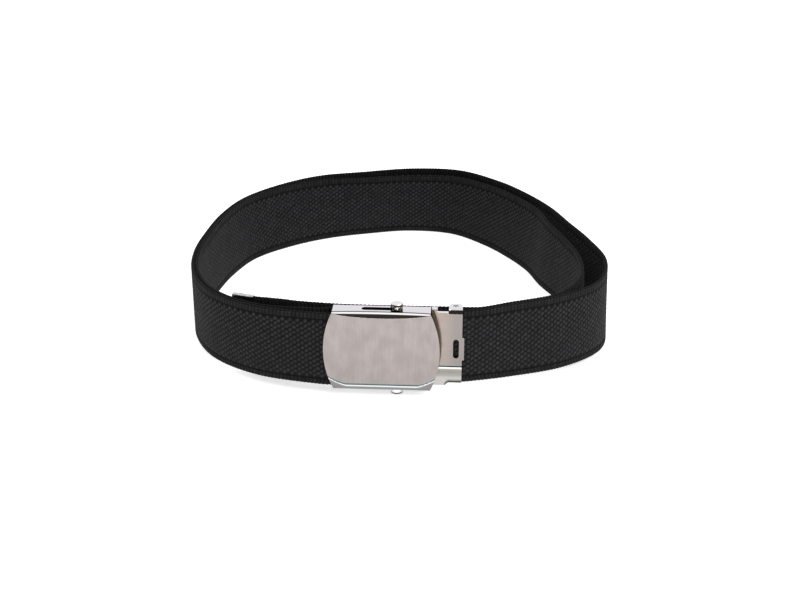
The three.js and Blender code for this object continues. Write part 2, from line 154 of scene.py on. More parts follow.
FACE_RIGHT = FACE_MIDDLE_X + FACE_SPAN / 2
CLAMP_LEFT = FACE_RIGHT + METAL_GAP
CLAMP_RIGHT = CLAMP_LEFT + CLAMP_LENGTH
CUT_END_X = CLAMP_LEFT + CLAMP_LUG_LENGTH / 2
PIVOT_X = CLAMP_RIGHT - EAR_WIDTH / 2
PIVOT_Y = LEVER_Y + LEVER_THICK / 2
TAIL_STRAIGHT_END_X = FACE_LEFT / 2

# Forms that only the dressed metal has, in millimetres
FACE_SHEET = 0.6
CLAMP_SHEET = 0.6
SHOULDER_MIDDLE = 2.6
SHOULDER_END = 0.35
SHOULDER_SLOPE = math.tan(math.radians(19))
SHOULDER_GAIN = 0.17
SHOULDER_FADE = 4.0
PLATE_DEPTH = 1.2
BEAD_STANDS = 0.2
BEAD_SOFT = 0.5
BORDER_SLOPE = 0.26
BORDER_DEEP = 0.42
CREASE_TALL = 2.5
CREASE_RISE = 3.6
CREASE_CORNER = 7.2
CREASE_CURVE = 1.4
CLAMP_CREASE_Z = 14.1
CLAMP_LIP_X = 28.5
CLAMP_EDGE_RISE = 1.5
CLAMP_LIP_RISE = 0.3
LIP_STANDS = 0.5
LIP_TOP = 10.0
LIP_TALL = 5.0
LIP_BLEND = 1.6
TURN_CURVE = 0.13
TURN_DEEP = 0.4
EAR_SHOULDER = 2.4
FLANGE_SHOWN = 9.1
FOLD_BLEND = 0.8
FACE_SPACING = 1.0
CLAMP_SPACING = 0.8
TRACK_HALF_WIDTH = 1.85
TRACK_FORWARD = 0.45
PIVOT_HOLE = 1.25
KNOB_DOME = 1.8
FOOT_DOME = 0.5
# Height up the foot to which a painted contact shadow reaches
FOOT_SHADOW_TOP = 1.1
CLAMP_FOLD = 0.65
NOTCH_DEEP = 1.2
NOTCH_EAR_ROUND = 0.7
NOTCH_LUG_ROUND = 0.5
TAB_ROUND = 0.5
LEVER_LENGTH = 13.0
LEVER_INSET = 0.6
LEVER_ROUND = 0.35
STUB_SUNK = 0.45
STUB_OVERLAP = 0.5
STUB_DOME = 0.25
TURNED_IN = 5.0
LEVER_SHORT = 1.3

# The stage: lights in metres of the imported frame, the camera in the part's own millimetres
OVERHEAD_PLACE = (0.85, -0.5, 0.95)
OVERHEAD_SIZE = (1.4, 1.0)
FILL_PLACE = (0.1, -1.0, 0.9)
FILL_SIZE = (1.6, 0.9)
CAMERA_PLACE = (38.7, -670.9, 300.2)
SENSOR_WIDTH = 36.0

# From the part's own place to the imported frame
FACE_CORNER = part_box("buckle_face")[0]
SHIFT = np.array([
    FACE_CORNER.x / MM - (FACE_LEFT - FACE_BOW),
    FACE_CORNER.y / MM - FACE_Y,
    0.0,
])


def colour_setting(name, description, default):
    """A colour for the panel."""
    return FloatVectorProperty(
        name=name, description=description, default=default, min=0.0, max=1.0, subtype="COLOR")


def length_setting(name, description, default, least):
    """A length for the panel, with its default and least value in millimetres."""
    return FloatProperty(
        name=name, description=description, default=default * MM, min=least * MM, unit="LENGTH")


class WebSettings(bpy.types.PropertyGroup):
    """Sizes and colours of the woven web."""

    column_pitch: length_setting(
        "Column Pitch", "Distance between two columns of floats along the web", 1.9, 1.0)
    row_pitch: length_setting("Row Pitch", "Distance between two rows of floats across the web", 2.6, 1.5)
    relief: length_setting("Relief", "Height of a float above the ground of the weave", 0.3, 0.1)
    selvage: length_setting("Selvage", "Width of the ribbed band along each edge", 3.2, 1.5)
    # Painted light: yarn is the lit colour painted on the crowns of the floats and ribs, shade is painted
    # shade in the gaps and on the whole ground of the weave
    yarn: colour_setting("Yarn", "Colour of the yarn on top of a float", (0.044, 0.0418, 0.045))
    shade: colour_setting("Shade", "Colour of the yarn between the floats", (0.0056, 0.0053, 0.0057))


class BuckleSettings(bpy.types.PropertyGroup):
    """Sizes and colours of the metal parts."""

    fold: length_setting("Fold", "Outer radius of the face plate's folds", 0.7, 0.65)
    edge_round: length_setting("Edge Rounding", "Radius of the sheet's cut edges", 0.12, 0.02)
    face: colour_setting("Face", "Colour of the brushed face plate", (0.354, 0.317, 0.305))
    polish: colour_setting("Polish", "Colour of the face plate's polished folds", (0.74, 0.72, 0.76))
    border: colour_setting("Border", "Colour of the face plate's satin lower border", (0.2, 0.196, 0.192))
    frame: colour_setting("Frame", "Colour of the plated clamp frame", (0.4, 0.32, 0.275))
    frame_far: colour_setting(
        "Frame Far Side", "Greyer colour of the clamp frame towards its ears", (0.237, 0.216, 0.208))
    # The turned edge colour is a painted brown reflection of the buckle's inside, not the metal's own colour
    brown: colour_setting(
        "Turned Edge", "Colour of the clamp frame's turned-in left edge", (0.2, 0.145, 0.1))
    chrome: colour_setting("Chrome", "Colour of the polished roller and tip", (0.8, 0.8, 0.82))
    # Painted shade: this dark colour paints the upper knob below its cap and a contact shadow round the
    # foot's rim; on the tip it tints the clouds
    tarnish_and_painted_shade: colour_setting(
        "Tarnish", "Colour of the dark brown film on the knobs and the tip", (0.05, 0.037, 0.03))
    steel: colour_setting("Steel", "Colour of the lever", (0.42, 0.4, 0.38))


class StageSettings(bpy.types.PropertyGroup):
    """Floor, light and camera."""

    floor: colour_setting("Floor", "Colour of the floor", (0.94, 0.94, 0.94))
    floor_size: FloatProperty(
        name="Floor Size", description="Side of the square floor", default=8.0, min=1.0, unit="LENGTH")
    key_power: FloatProperty(
        name="Key Light", description="Power of the large light overhead",
        default=7.5, min=0.0, unit="POWER")
    fill_power: FloatProperty(
        name="Fill Light", description="Power of the soft light in front",
        default=6.5, min=0.0, unit="POWER")
    floor_glow: FloatProperty(
        name="Floor Glow", description="Light that the floor gives off, as a lit sweep does",
        default=0.58, min=0.0)
    sky_strength: FloatProperty(
        name="Surround", description="Brightness of the white surround", default=1.0, min=0.0)
    camera_pitch: FloatProperty(
        name="Camera Pitch", description="How far the camera looks down",
        default=math.radians(24.2), subtype="ANGLE", unit="ROTATION")
    camera_yaw: FloatProperty(
        name="Camera Yaw", description="How far the camera turns to the left",
        default=math.radians(3.3), subtype="ANGLE", unit="ROTATION")
    focal_length: FloatProperty(
        name="Focal Length", description="Lens of the camera", default=58.5, min=10.0, unit="CAMERA")


# Mesh and object helpers

def to_frame(points):
    """Millimetres of the part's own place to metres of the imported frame."""
    return (np.asarray(points, float) + SHIFT) * MM


def placed(name, mesh, material, slot_name, *nodes):
    """The mesh as a named piece that rides on the belt and stands for the nodes."""
    old = bpy.data.objects.get(name)
    if old is not None:
        bpy.data.objects.remove(old)
    piece = bpy.data.objects.new(name, mesh)
    mesh.materials.append(material)
    bpy.context.scene.collection.objects.link(piece)
    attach(piece, BODY)
    if nodes:
        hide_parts(*nodes)
    return piece


def mesh_of(name, points, faces):
    """A mesh from points in the part's millimetres and an array or list of faces."""
    mesh = bpy.data.meshes.new(name)
    places = to_frame(points)
    if isinstance(faces, np.ndarray):
        count, sides = faces.shape
        mesh.vertices.add(len(places))
        mesh.vertices.foreach_set("co", places.astype(np.float32).ravel())
        mesh.loops.add(count * sides)
        mesh.loops.foreach_set("vertex_index", faces.astype(np.int32).ravel())
        mesh.polygons.add(count)
        mesh.polygons.foreach_set("loop_start", np.arange(0, count * sides, sides, dtype=np.int32))
        mesh.update(calc_edges=True)
    else:
        mesh.from_pydata(places.tolist(), [], faces)
    mesh.validate()
    mesh.polygons.foreach_set("use_smooth", [True] * len(mesh.polygons))
    return mesh


def marked(mesh, name, values):
    """Stores a number for each point of the mesh, for its material to read."""
    mesh.attributes.new(name, "FLOAT", "POINT").data.foreach_set("value", values.astype(np.float32))


def places_of(mesh):
    """The mesh's points in the part's own millimetres."""
    flat = np.empty(len(mesh.vertices) * 3)
    mesh.vertices.foreach_get("co", flat)
    return (flat.reshape(-1, 3) / MM - SHIFT).T


def smoothed(mesh, angle):
    """Shades the mesh smooth, apart from edges sharper than the angle in degrees."""
    mesh.polygons.foreach_set("use_smooth", [True] * len(mesh.polygons))
    mesh.set_sharp_from_angle(angle=math.radians(angle))
    return mesh


def rounded_edges(piece, width):
    """Rounds the piece's sharp edges for good, and keeps its flat faces flat in the light."""
    bevel = piece.modifiers.new("Rounding", "BEVEL")
    bevel.width = width
    bevel.segments = 2
    bevel.limit_method = "ANGLE"
    bevel.angle_limit = math.radians(38)
    bevel.harden_normals = True
    bevel.use_clamp_overlap = True
    graph = bpy.context.evaluated_depsgraph_get()
    mesh = bpy.data.meshes.new_from_object(piece.evaluated_get(graph))
    piece.modifiers.clear()
    piece.data = mesh


# The web's run

def smooth_share(share):
    """A share from 0 to 1 that eases in and out."""
    share = np.clip(share, 0.0, 1.0)
    return share * share * (3 - 2 * share)


def station_value(column, angle):
    """One column of the loop's stations, on a smooth curve through them."""
    table = np.array(LOOP_STATIONS, float)
    angles, values = table[:, 0], table[:, column]
    slopes = np.gradient(values, angles)
    angle = np.clip(angle, angles[0], angles[-1])
    before = np.clip(np.searchsorted(angles, angle, side="right") - 1, 0, len(angles) - 2)
    span = angles[before + 1] - angles[before]
    share = (angle - angles[before]) / span
    ease = smooth_share(share)
    leave = share * (1 - share) ** 2 * span * slopes[before]
    arrive = share ** 2 * (share - 1) * span * slopes[before + 1]
    return values[before] * (1 - ease) + values[before + 1] * ease + leave + arrive


def at_angle(angle, radius):
    """The place at an angle and a distance from the loop's middle."""
    turn = math.radians(angle)
    return np.array([radius * math.cos(turn), radius * math.sin(turn)])


def outer_radius(angle):
    """Distance of the outer turn's middle line from the loop's middle."""
    return LOOP_REACH * station_value(1, angle) - WEB_THICK / 2


def inner_radius(angle):
    """Distance of the inner turn's middle line from the loop's middle."""
    return outer_radius(angle) - WEB_THICK - LAYER_GAP - LOOP_REACH * station_value(2, angle)


def tail_radius(angle, inset):
    """Distance of the free end's middle line from the loop's middle."""
    return inner_radius(angle) - WEB_THICK - LAYER_GAP - LOOP_REACH * inset


def plan_angle(x, y):
    """Angle of a place round the loop, counted on past a full turn at the front."""
    angle = np.degrees(np.arctan2(y, x))
    return np.where(angle < FRONT_ANGLE - 360, angle + 360, angle)


def lift_at(x, y):
    """How far the web is lifted off the floor: fully at the buckle, not at all behind."""
    away = np.abs(((plan_angle(x, y) - FRONT_ANGLE + 540) % 360) - 180)
    share = (away - LIFT_FULL_ANGLE) / (LIFT_ZERO_ANGLE - LIFT_FULL_ANGLE)
    return WEB_LIFT * (1 - smooth_share(share))


def curve_through(points, steps=60):
    """A centripetal curve through the points."""
    points = np.array(points, float)
    chain = np.vstack([2 * points[0] - points[1], points, 2 * points[-1] - points[-2]])
    runs = []
    share = np.linspace(0, 1, steps, endpoint=False)[:, None]
    for first in range(len(points) - 1):
        p0, p1, p2, p3 = chain[first:first + 4]
        d0, d1, d2 = (np.linalg.norm(b - a) ** 0.5 for a, b in ((p0, p1), (p1, p2), (p2, p3)))
        leave = ((p1 - p0) / d0 - (p2 - p0) / (d0 + d1) + (p2 - p1) / d1) * d1
        reach = ((p2 - p1) / d1 - (p3 - p1) / (d1 + d2) + (p3 - p2) / d2) * d1
        square = -3 * p1 + 3 * p2 - 2 * leave - reach
        cube = 2 * p1 - 2 * p2 + leave + reach
        runs.append(p1 + leave * share + square * share ** 2 + cube * share ** 3)
    runs.append(points[-1:])
    return np.vstack(runs)


TIP_END = at_angle(TAIL_STATIONS[-1][0], tail_radius(*TAIL_STATIONS[-1]))
TIP_ROOT = at_angle(TAIL_STATIONS[-2][0], tail_radius(*TAIL_STATIONS[-2]))
TIP_DIRECTION = (TIP_END - TIP_ROOT) / np.linalg.norm(TIP_END - TIP_ROOT)
TIP_MOUTH = TIP_END - TIP_DIRECTION * TIP_LENGTH
TIP_LIFT = float(lift_at(TIP_MOUTH[0], TIP_MOUTH[1]))
TIP_LEAN = float(station_value(3, plan_angle(TIP_MOUTH[0], TIP_MOUTH[1])))


def web_plan():
    """The web's middle line seen from above, from its cut end to its free end."""
    first = [
        (CUT_END_X, CUT_END_Y), (CLAMP_RIGHT - JOIN_LEAD, CUT_END_Y), (CLAMP_RIGHT, CUT_END_Y),
        *(at_angle(row[0], outer_radius(row[0])) for row in LOOP_STATIONS),
        (FACE_LEFT, OUTER_LAYER_Y), (FACE_LEFT + JOIN_LEAD, OUTER_LAYER_Y), (ROLLER_X, OUTER_LAYER_Y),
    ]
    turn = np.radians(np.arange(-85, 90, 5))
    radius = ROLLER_Y - OUTER_LAYER_Y
    wrap = np.stack([ROLLER_X + radius * np.cos(turn), ROLLER_Y + radius * np.sin(turn)], axis=1)
    second = [
        (ROLLER_X, INNER_LAYER_Y), (FACE_LEFT + JOIN_LEAD, INNER_LAYER_Y), (FACE_LEFT, INNER_LAYER_Y),
        *reversed([at_angle(row[0], inner_radius(row[0])) for row in LOOP_STATIONS]),
        (CLAMP_RIGHT, TAIL_Y), (CLAMP_RIGHT - JOIN_LEAD, TAIL_Y), (TAIL_STRAIGHT_END_X, TAIL_Y),
        *(at_angle(angle, tail_radius(angle, inset)) for angle, inset in TAIL_STATIONS[:-2]),
        TIP_MOUTH - TIP_DIRECTION * JOIN_LEAD, TIP_MOUTH,
    ]
    end = TIP_END - TIP_DIRECTION * (TIP_SHEET + TIP_FIT)
    return np.vstack([curve_through(first), wrap, curve_through(second), end[None]])


class WebRun:
    """Places on the web, from the distance along it, the height on it and the offset from its middle."""

    STEP = 0.25

    def __init__(self):
        line = web_plan()
        gone = np.concatenate([[0], np.cumsum(np.linalg.norm(np.diff(line, axis=0), axis=1))])
        self.length = gone[-1]
        self.along = np.arange(0, self.length, self.STEP)
        self.x = np.interp(self.along, gone, line[:, 0])
        self.y = np.interp(self.along, gone, line[:, 1])
        reach = 4
        ahead = np.minimum(np.arange(len(self.along)) + reach, len(self.along) - 1)
        behind = np.maximum(np.arange(len(self.along)) - reach, 0)
        dx, dy = self.x[ahead] - self.x[behind], self.y[ahead] - self.y[behind]
        size = np.hypot(dx, dy)
        self.side_x, self.side_y = -dy / size, dx / size
        outward = np.sign(self.side_x * self.x + self.side_y * self.y)
        self.lean = outward * station_value(3, plan_angle(self.x, self.y))
        self.lift = lift_at(self.x, self.y)
        in_tip = self.along > self.length - (TIP_LENGTH - TIP_SHEET - TIP_FIT)
        self.lift[in_tip] = TIP_LIFT
        self.lean[in_tip] = outward[in_tip] * TIP_LEAN

    def at(self, along, height, offset):
        """Places at distances along, heights on and offsets from the web."""

        def read(values):
            return np.interp(along, self.along, values)

        across = offset + read(self.lean) * height
        return np.stack([
            read(self.x) + read(self.side_x) * across,
            read(self.y) + read(self.side_y) * across,
            read(self.lift) + height,
        ], axis=-1)


def strip_faces(rings, sides, closed):
    """Quads between rings of points, each ring open or closed."""
    ring = np.arange(rings - 1)[:, None]
    corner = np.arange(sides if closed else sides - 1)[None, :]
    following = (corner + 1) % sides
    a = ring * sides + corner
    b = ring * sides + following
    return np.stack([a, b, b + sides, a + sides], axis=-1).reshape(-1, 4)


def ground_section(selvage, relief):
    """The web's section without its floats: offset and height, up one face and down the other."""
    flat = WEB_THICK / 2 - relief
    groove = 0.55 * flat
    rise = [
        (0.45 * flat, 0.1), (0.9 * flat, 0.4), (flat, 0.9), (flat, selvage - 0.35), (groove, selvage - 0.1),
        (groove, selvage + 0.05), (flat, selvage + 0.3), (flat, WEB_WIDTH / 2),
    ]
    up = rise + [(offset, WEB_WIDTH - height) for offset, height in reversed(rise[:-1])]
    down = [(-offset, height) for offset, height in reversed(up)]
    return np.array(up + down)


def web_ground(run, settings):
    """The ground of the weave, one closed band with a groove beside each selvage."""
    section = ground_section(settings.selvage / MM, settings.relief / MM)
    along = np.linspace(0, run.length - WebRun.STEP, int(run.length / (settings.column_pitch / MM)))
    points = run.at(along[:, None], section[None, :, 1], section[None, :, 0]).reshape(-1, 3)
    sides = len(section)
    faces = strip_faces(len(along), sides, True).tolist()
    faces.append(list(range(sides)))
    faces.append(list(range(len(points) - 1, len(points) - 1 - sides, -1)))
    return mesh_of("web_ground", points, faces)


def float_cells(run, settings, face):
    """Middles of the floats on one face of the web, column by column."""
    pitch, row = settings.column_pitch / MM, settings.row_pitch / MM
    low, high = settings.selvage / MM + 0.25, WEB_WIDTH - settings.selvage / MM - 0.25
    rows = round((high - low) / row)
    start = (low + high - rows * row) / 2
    cells = []
    for column in range(int(run.length / pitch)):
        shifted = (column % 2 == 0) == (face > 0)
        heights = start + row * (np.arange(rows) + (0.5 if shifted else 1.0))
        if shifted:
            heights = heights[heights < high - row * 0.3]
        for height in heights[heights < high - row * 0.25]:
            cells.append((pitch * (column + 0.5), height, column % 2))
    return np.array(cells)


# Floats of even and odd columns: width and height as shares of the pitch, rise as a share of the relief
FLOAT_WIDE = (1.4, 1.3)
FLOAT_TALL = (1.0, 1.04)
FLOAT_RISE = (1.0, 0.85)
FLOAT_SLANT = (0.0, 0.28)

# Unevenness of the floats: shift in millimetres, and also the spread of their slant
WEAVE_JITTER = 0.07

# Rings of one float, from its foot to its peak: share of the size, share of the rise, brightness of the
# painted light (the foot painted dark as shade, the peak painted light)
FLOAT_SIDES = 6
FLOAT_RINGS = ((1.0, -0.25, 0.0), (0.72, 0.7, 0.7), (0.0, 1.0, 1.0))


def float_faces(face):
    """Triangles of one float: between its two rings, and up to its peak."""
    here = np.arange(FLOAT_SIDES)
    following = (here + 1) % FLOAT_SIDES
    lower = np.stack([here, following, following + FLOAT_SIDES], axis=1)
    upper = np.stack([here, following + FLOAT_SIDES, here + FLOAT_SIDES], axis=1)
    peak = np.full(FLOAT_SIDES, 2 * FLOAT_SIDES)
    cap = np.stack([here + FLOAT_SIDES, following + FLOAT_SIDES, peak], axis=1)
    one = np.concatenate([lower, upper, cap])
    return one[:, ::-1] if face > 0 else one


def web_floats(run, settings, face, part, parts, seed):
    """A share of the floats on one face: small domes that stand up from the ground."""
    cells = float_cells(run, settings, face)
    cells = np.array_split(cells, parts)[part]
    draw = np.random.default_rng(seed)
    count = len(cells)
    pitch, row = settings.column_pitch / MM, settings.row_pitch / MM
    odd = cells[:, 2].astype(int)
    wide = np.take(FLOAT_WIDE, odd) * pitch / 2 * draw.uniform(0.92, 1.06, count)
    tall = np.take(FLOAT_TALL, odd) * row / 2 * draw.uniform(0.92, 1.05, count)
    relief = settings.relief / MM
    ground = WEB_THICK / 2 - relief
    rise = relief * np.take(FLOAT_RISE, odd) * draw.uniform(0.85, 1.1, count)
    slant = np.take(FLOAT_SLANT, odd) + draw.uniform(-WEAVE_JITTER, WEAVE_JITTER, count)
    turn = np.radians(90 + 360 / FLOAT_SIDES * np.arange(FLOAT_SIDES))
    ring_u, ring_v = np.cos(turn), np.sin(turn)
    shells = []
    for share, level, _ in FLOAT_RINGS:
        sides = FLOAT_SIDES if share else 1
        u = (wide[:, None] * share) * ring_u[None, :sides]
        v = (tall[:, None] * share) * ring_v[None, :sides]
        u = u + slant[:, None] * v
        depth = ground + rise[:, None] * level + np.zeros_like(u)
        shells.append(np.stack([u, v, depth], axis=-1))
    local = np.concatenate(shells, axis=1)
    jitter = draw.normal(0, WEAVE_JITTER, (count, 2))
    along = cells[:, None, 0] + jitter[:, None, 0] + local[:, :, 0]
    height = cells[:, None, 1] + jitter[:, None, 1] + local[:, :, 1]
    points = run.at(np.clip(along, 0, run.length), height, face * local[:, :, 2]).reshape(-1, 3)
    stride = local.shape[1]
    faces = (np.arange(count)[:, None, None] * stride + float_faces(face)[None]).reshape(-1, 3)
    mesh = mesh_of(f"web_floats_{'left' if face > 0 else 'right'}_{part + 1}", points, faces)
    # Painted light: each float painted lighter towards its peak and darker at its foot, times a random tone
    tone = draw.uniform(0.75, 1.0, (count, 1))
    levels = np.repeat([bright for _, _, bright in FLOAT_RINGS], [FLOAT_SIDES, FLOAT_SIDES, 1])[None]
    marked(mesh, "painted_crown_light", (tone * levels).ravel())
    return mesh


# Half of a selvage rib, as shares of the band and of half the thickness: distance in from the edge, offset
RIB_HALF = (
    (1.02, 0.62), (0.92, 0.9), (0.8, 0.99), (0.68, 0.84), (0.58, 0.98), (0.5, 0.97),
    (0.42, 0.84), (0.34, 0.97), (0.18, 0.97), (0.06, 0.82), (-0.015, 0.46), (-0.04, 0.0),
)

# One rib across: distance from its middle as a share of the pitch, sink in millimetres, brightness of the
# painted light (a painted highlight on the rib, painted shade in the dip)
RIB_ACROSS = ((-0.45, 0.3, 0.1), (-0.25, 0.03, 1.0), (0.25, 0.03, 1.0), (0.45, 0.3, 0.1))
RIB_LEAN = 0.22
RIB_SWAY = 0.05


def web_selvage(run, settings, upper):
    """The ribs that the weft makes where it turns round one edge of the web."""
    pitch, band = settings.column_pitch / MM, settings.selvage / MM - 0.1
    half = [(inset * band, share * WEB_THICK / 2) for inset, share in RIB_HALF]
    profile = np.array(half + [(inset, -offset) for inset, offset in reversed(half[:-1])])
    columns = int(run.length / pitch)
    draw = np.random.default_rng(7 if upper else 8)
    across = np.array(RIB_ACROSS)
    inset = profile[None, :, None, 0] + np.zeros((columns, 1, len(across)))
    sink = across[None, None, :, 1] * draw.uniform(0.8, 1.25, (columns, 1, 1))
    size = np.hypot(profile[:, 1], np.minimum(profile[:, 0] - 0.6, 0))[None, :, None]
    offset = profile[None, :, None, 1] * (1 - sink / np.maximum(size, 0.5))
    inset = inset + sink * np.clip(1 - profile[None, :, None, 0], 0, 1)
    sway = draw.normal(0, RIB_SWAY, (columns, 1, 1))
    lean = RIB_LEAN * np.clip(band * 0.4 - profile[None, :, None, 0], 0, None)
    along = pitch * (np.arange(columns)[:, None, None] + 0.5 + across[None, None, :, 0]) + sway + lean
    height = WEB_WIDTH - inset if upper else inset
    points = run.at(np.clip(along, 0, run.length), height, offset).reshape(-1, 3)
    rows, wide = len(profile), len(across)
    one = strip_faces(rows, wide, False)
    if upper:
        one = one[:, ::-1]
    faces = (np.arange(columns)[:, None, None] * rows * wide + one[None]).reshape(-1, 4)
    mesh = mesh_of("web_selvage_" + ("upper" if upper else "lower"), points, faces)
    # Painted light: the ribs' outermost crests painted lighter, their sides and dips darker, times a random
    # tone
    high = np.interp(np.abs(profile[:, 1]) / (WEB_THICK / 2), [0.8, 0.98], [0.1, 0.8])
    levels = high[:, None] * across[None, :, 2]
    tone = draw.uniform(0.6, 1.0, (columns, 1, 1))
    marked(mesh, "painted_crown_light", (tone * levels[None]).ravel())
    return mesh


# Bent sheet metal

def arc_points(middle, radius, start, end, steps):
    """Points along an arc between two angles in degrees."""
    turns = np.radians(np.linspace(start, end, steps + 1))
    return [(middle[0] + radius * math.cos(turn), middle[1] + radius * math.sin(turn)) for turn in turns]


def profile_run(path, radii, steps=10):
    """A path through corners in depth and height, each corner rounded by its radius."""
    run = [np.array(path[0], float)]
    for before, here, after, radius in zip(path[:-2], path[1:-1], path[2:], radii):
        before, here, after = (np.array(p, float) for p in (before, here, after))
        arrive = (here - before) / np.linalg.norm(here - before)
        leave = (after - here) / np.linalg.norm(after - here)
        bend = math.acos(max(-1.0, min(1.0, float(arrive @ leave))))
        back = radius * math.tan(bend / 2)
        start, end = here - arrive * back, here + leave * back
        turn = math.copysign(1, arrive[0] * leave[1] - arrive[1] * leave[0])
        middle = start + radius * turn * np.array([-arrive[1], arrive[0]])
        for step in range(steps + 1):
            angle = turn * bend * step / steps
            spoke = start - middle
            run.append(middle + np.array([
                spoke[0] * math.cos(angle) - spoke[1] * math.sin(angle),
                spoke[0] * math.sin(angle) + spoke[1] * math.cos(angle),
            ]))
        if np.linalg.norm(run[-1] - end) > 1e-6:
            run.append(end)
    run.append(np.array(path[-1], float))
    return np.array(run)


class Bend:
    """A sheet's outer profile in depth and height, as a place and a normal for each distance along it."""

    def __init__(self, path, radii):
        self.line = profile_run(path, radii)
        steps = np.linalg.norm(np.diff(self.line, axis=0), axis=1)
        keep = np.concatenate([[True], steps > 1e-6])
        self.line = self.line[keep]
        steps = np.linalg.norm(np.diff(self.line, axis=0), axis=1)
        self.gone = np.concatenate([[0], np.cumsum(steps)])
        self.length = self.gone[-1]
        tangent = np.gradient(self.line, self.gone, axis=0)
        tangent /= np.linalg.norm(tangent, axis=1)[:, None]
        self.inward = np.stack([tangent[:, 1], -tangent[:, 0]], axis=1)

    def at(self, along):
        """Depth, height and inward normal at distances along the sheet."""
        place = [np.interp(along, self.gone, self.line[:, axis]) for axis in (0, 1)]
        inward = np.stack([np.interp(along, self.gone, self.inward[:, axis]) for axis in (0, 1)])
        inward /= np.linalg.norm(inward, axis=0)
        return place[0], place[1], inward[0], inward[1]


def channel_bend(front, back, radius):
    """The box's side view: a flange below, an upright plate and a flange above."""
    path = [(back, BOX_BOTTOM), (front, BOX_BOTTOM), (front, BOX_TOP), (back, BOX_TOP)]
    return Bend(path, [radius, radius])


def inside_loops(points, loops):
    """Which points lie inside an odd number of the loops."""
    inside = np.zeros(len(points), bool)
    x, y = points[:, 0], points[:, 1]
    for loop in loops:
        corners = np.array(loop, float)
        for (ax, ay), (bx, by) in zip(corners, np.roll(corners, -1, axis=0)):
            if ay == by:
                continue
            spans = (ay > y) != (by > y)
            inside ^= spans & (x < ax + (y - ay) / (by - ay) * (bx - ax))
    return inside


def flat_pattern(outline, holes, bend, spacing, fine):
    """Points and triangles of a flat pattern, in X and distance along the bend."""
    loops = [outline, *holes]
    points, faces, edges = [], [], []
    for loop in loops:
        first = len(points)
        points += [Vector(corner) for corner in loop]
        faces.append(list(range(first, len(points))))
    low = min(corner[0] for corner in outline)
    high = max(corner[0] for corner in outline)
    columns = np.arange(low + spacing / 2, high, spacing)
    rows = list(bend.gone[1:-1])
    flat = [gone for a, b in zip(bend.gone[:-1], bend.gone[1:]) if b - a > 2 * spacing
            for gone in np.arange(a + spacing, b - spacing / 2, spacing)
            if not any(start <= gone <= end for start, end, _ in fine)]
    close = [gone for start, end, step in fine for gone in np.arange(start, end, step)]
    for row in sorted(rows + flat + close):
        first = len(points)
        points += [Vector((x, row)) for x in columns]
        edges += [(first + i, first + i + 1) for i in range(len(columns) - 1)]
    made = delaunay_2d_cdt(points, edges, faces, 0, 1e-5)
    flat_points = np.array([tuple(p) for p in made[0]])
    triangles = np.array([tuple(face) for face in made[2]])
    middles = flat_points[triangles].mean(axis=1)
    triangles = [tuple(face) for face in triangles[inside_loops(middles, loops)].tolist()]
    used = sorted({corner for face in triangles for corner in face})
    renumber = {old: new for new, old in enumerate(used)}
    flat_points = flat_points[used]
    return flat_points, [tuple(renumber[corner] for corner in face) for face in triangles]


def bent_sheet(name, outline, holes, bend, thick, spacing, fine, relief):
    """A flat pattern, folded along the bend and given its thickness.

    fine lists stretches along the bend with their own row spacing, and relief moves places in depth.
    """
    flat_points, triangles = flat_pattern(outline, holes, bend, spacing, fine)
    y, z, ny, nz = bend.at(flat_points[:, 1])
    y = y + relief(flat_points[:, 0], y, z)
    outer = np.stack([flat_points[:, 0], y, z], axis=1)
    inner = outer + thick * np.stack([np.zeros(len(y)), ny, nz], axis=1)
    count = len(outer)
    solid = bmesh.new()
    corners = [solid.verts.new(place) for place in to_frame(np.vstack([outer, inner]))]
    border = {}
    for a, b, c in triangles:
        solid.faces.new((corners[a], corners[b], corners[c]))
        solid.faces.new((corners[c + count], corners[b + count], corners[a + count]))
        for edge in ((a, b), (b, c), (c, a)):
            key = tuple(sorted(edge))
            border[key] = None if key in border else edge
    for edge in border.values():
        if edge is not None:
            a, b = edge
            solid.faces.new((corners[b], corners[a], corners[a + count], corners[b + count]))
    bmesh.ops.recalc_face_normals(solid, faces=solid.faces)
    bmesh.ops.join_triangles(
        solid, faces=solid.faces,
        angle_face_threshold=math.radians(3), angle_shape_threshold=math.radians(40))
    mesh = bpy.data.meshes.new(name)
    solid.to_mesh(mesh)
    solid.free()
    return smoothed(mesh, 40)


def rounded_corner(corner, before, after, radius, steps=5):
    """Points that round one corner of an outline."""
    corner, before, after = (np.array(p, float) for p in (corner, before, after))
    arrive = (corner - before) / np.linalg.norm(corner - before)
    leave = (after - corner) / np.linalg.norm(after - corner)
    start, end = corner - arrive * radius, corner + leave * radius
    share = np.linspace(0, 1, steps + 1)[:, None]
    curve = (1 - share) ** 2 * start + 2 * share * (1 - share) * corner + share ** 2 * end
    return [tuple(p) for p in curve]


def slot_loop(middle_u, middle_v, half_u, half_v, steps=10):
    """A slot with round ends, its long way along the larger half size."""
    radius = min(half_u, half_v)
    points = []
    if half_u > half_v:
        points += arc_points((middle_u + half_u - radius, middle_v), radius, -90, 90, steps)
        points += arc_points((middle_u - half_u + radius, middle_v), radius, 90, 270, steps)
    else:
        points += arc_points((middle_u, middle_v + half_v - radius), radius, 0, 180, steps)
        points += arc_points((middle_u, middle_v - half_v + radius), radius, 180, 360, steps)
    return points


def bows(z, bow):
    """How far a bowed edge stands out at each height of the box."""
    half = BOX_TALL / 2
    radius = (half * half + bow * bow) / (2 * bow)
    rise = np.clip(z - BOX_MIDDLE, -half, half)
    return bow - radius + np.sqrt(radius * radius - rise * rise)


def shoulder_drop(inside, shoulder):
    """Depth of a shoulder at a distance in from its lower edge: a slope that steepens towards the fold."""
    return inside * (SHOULDER_SLOPE + SHOULDER_GAIN * inside / shoulder)


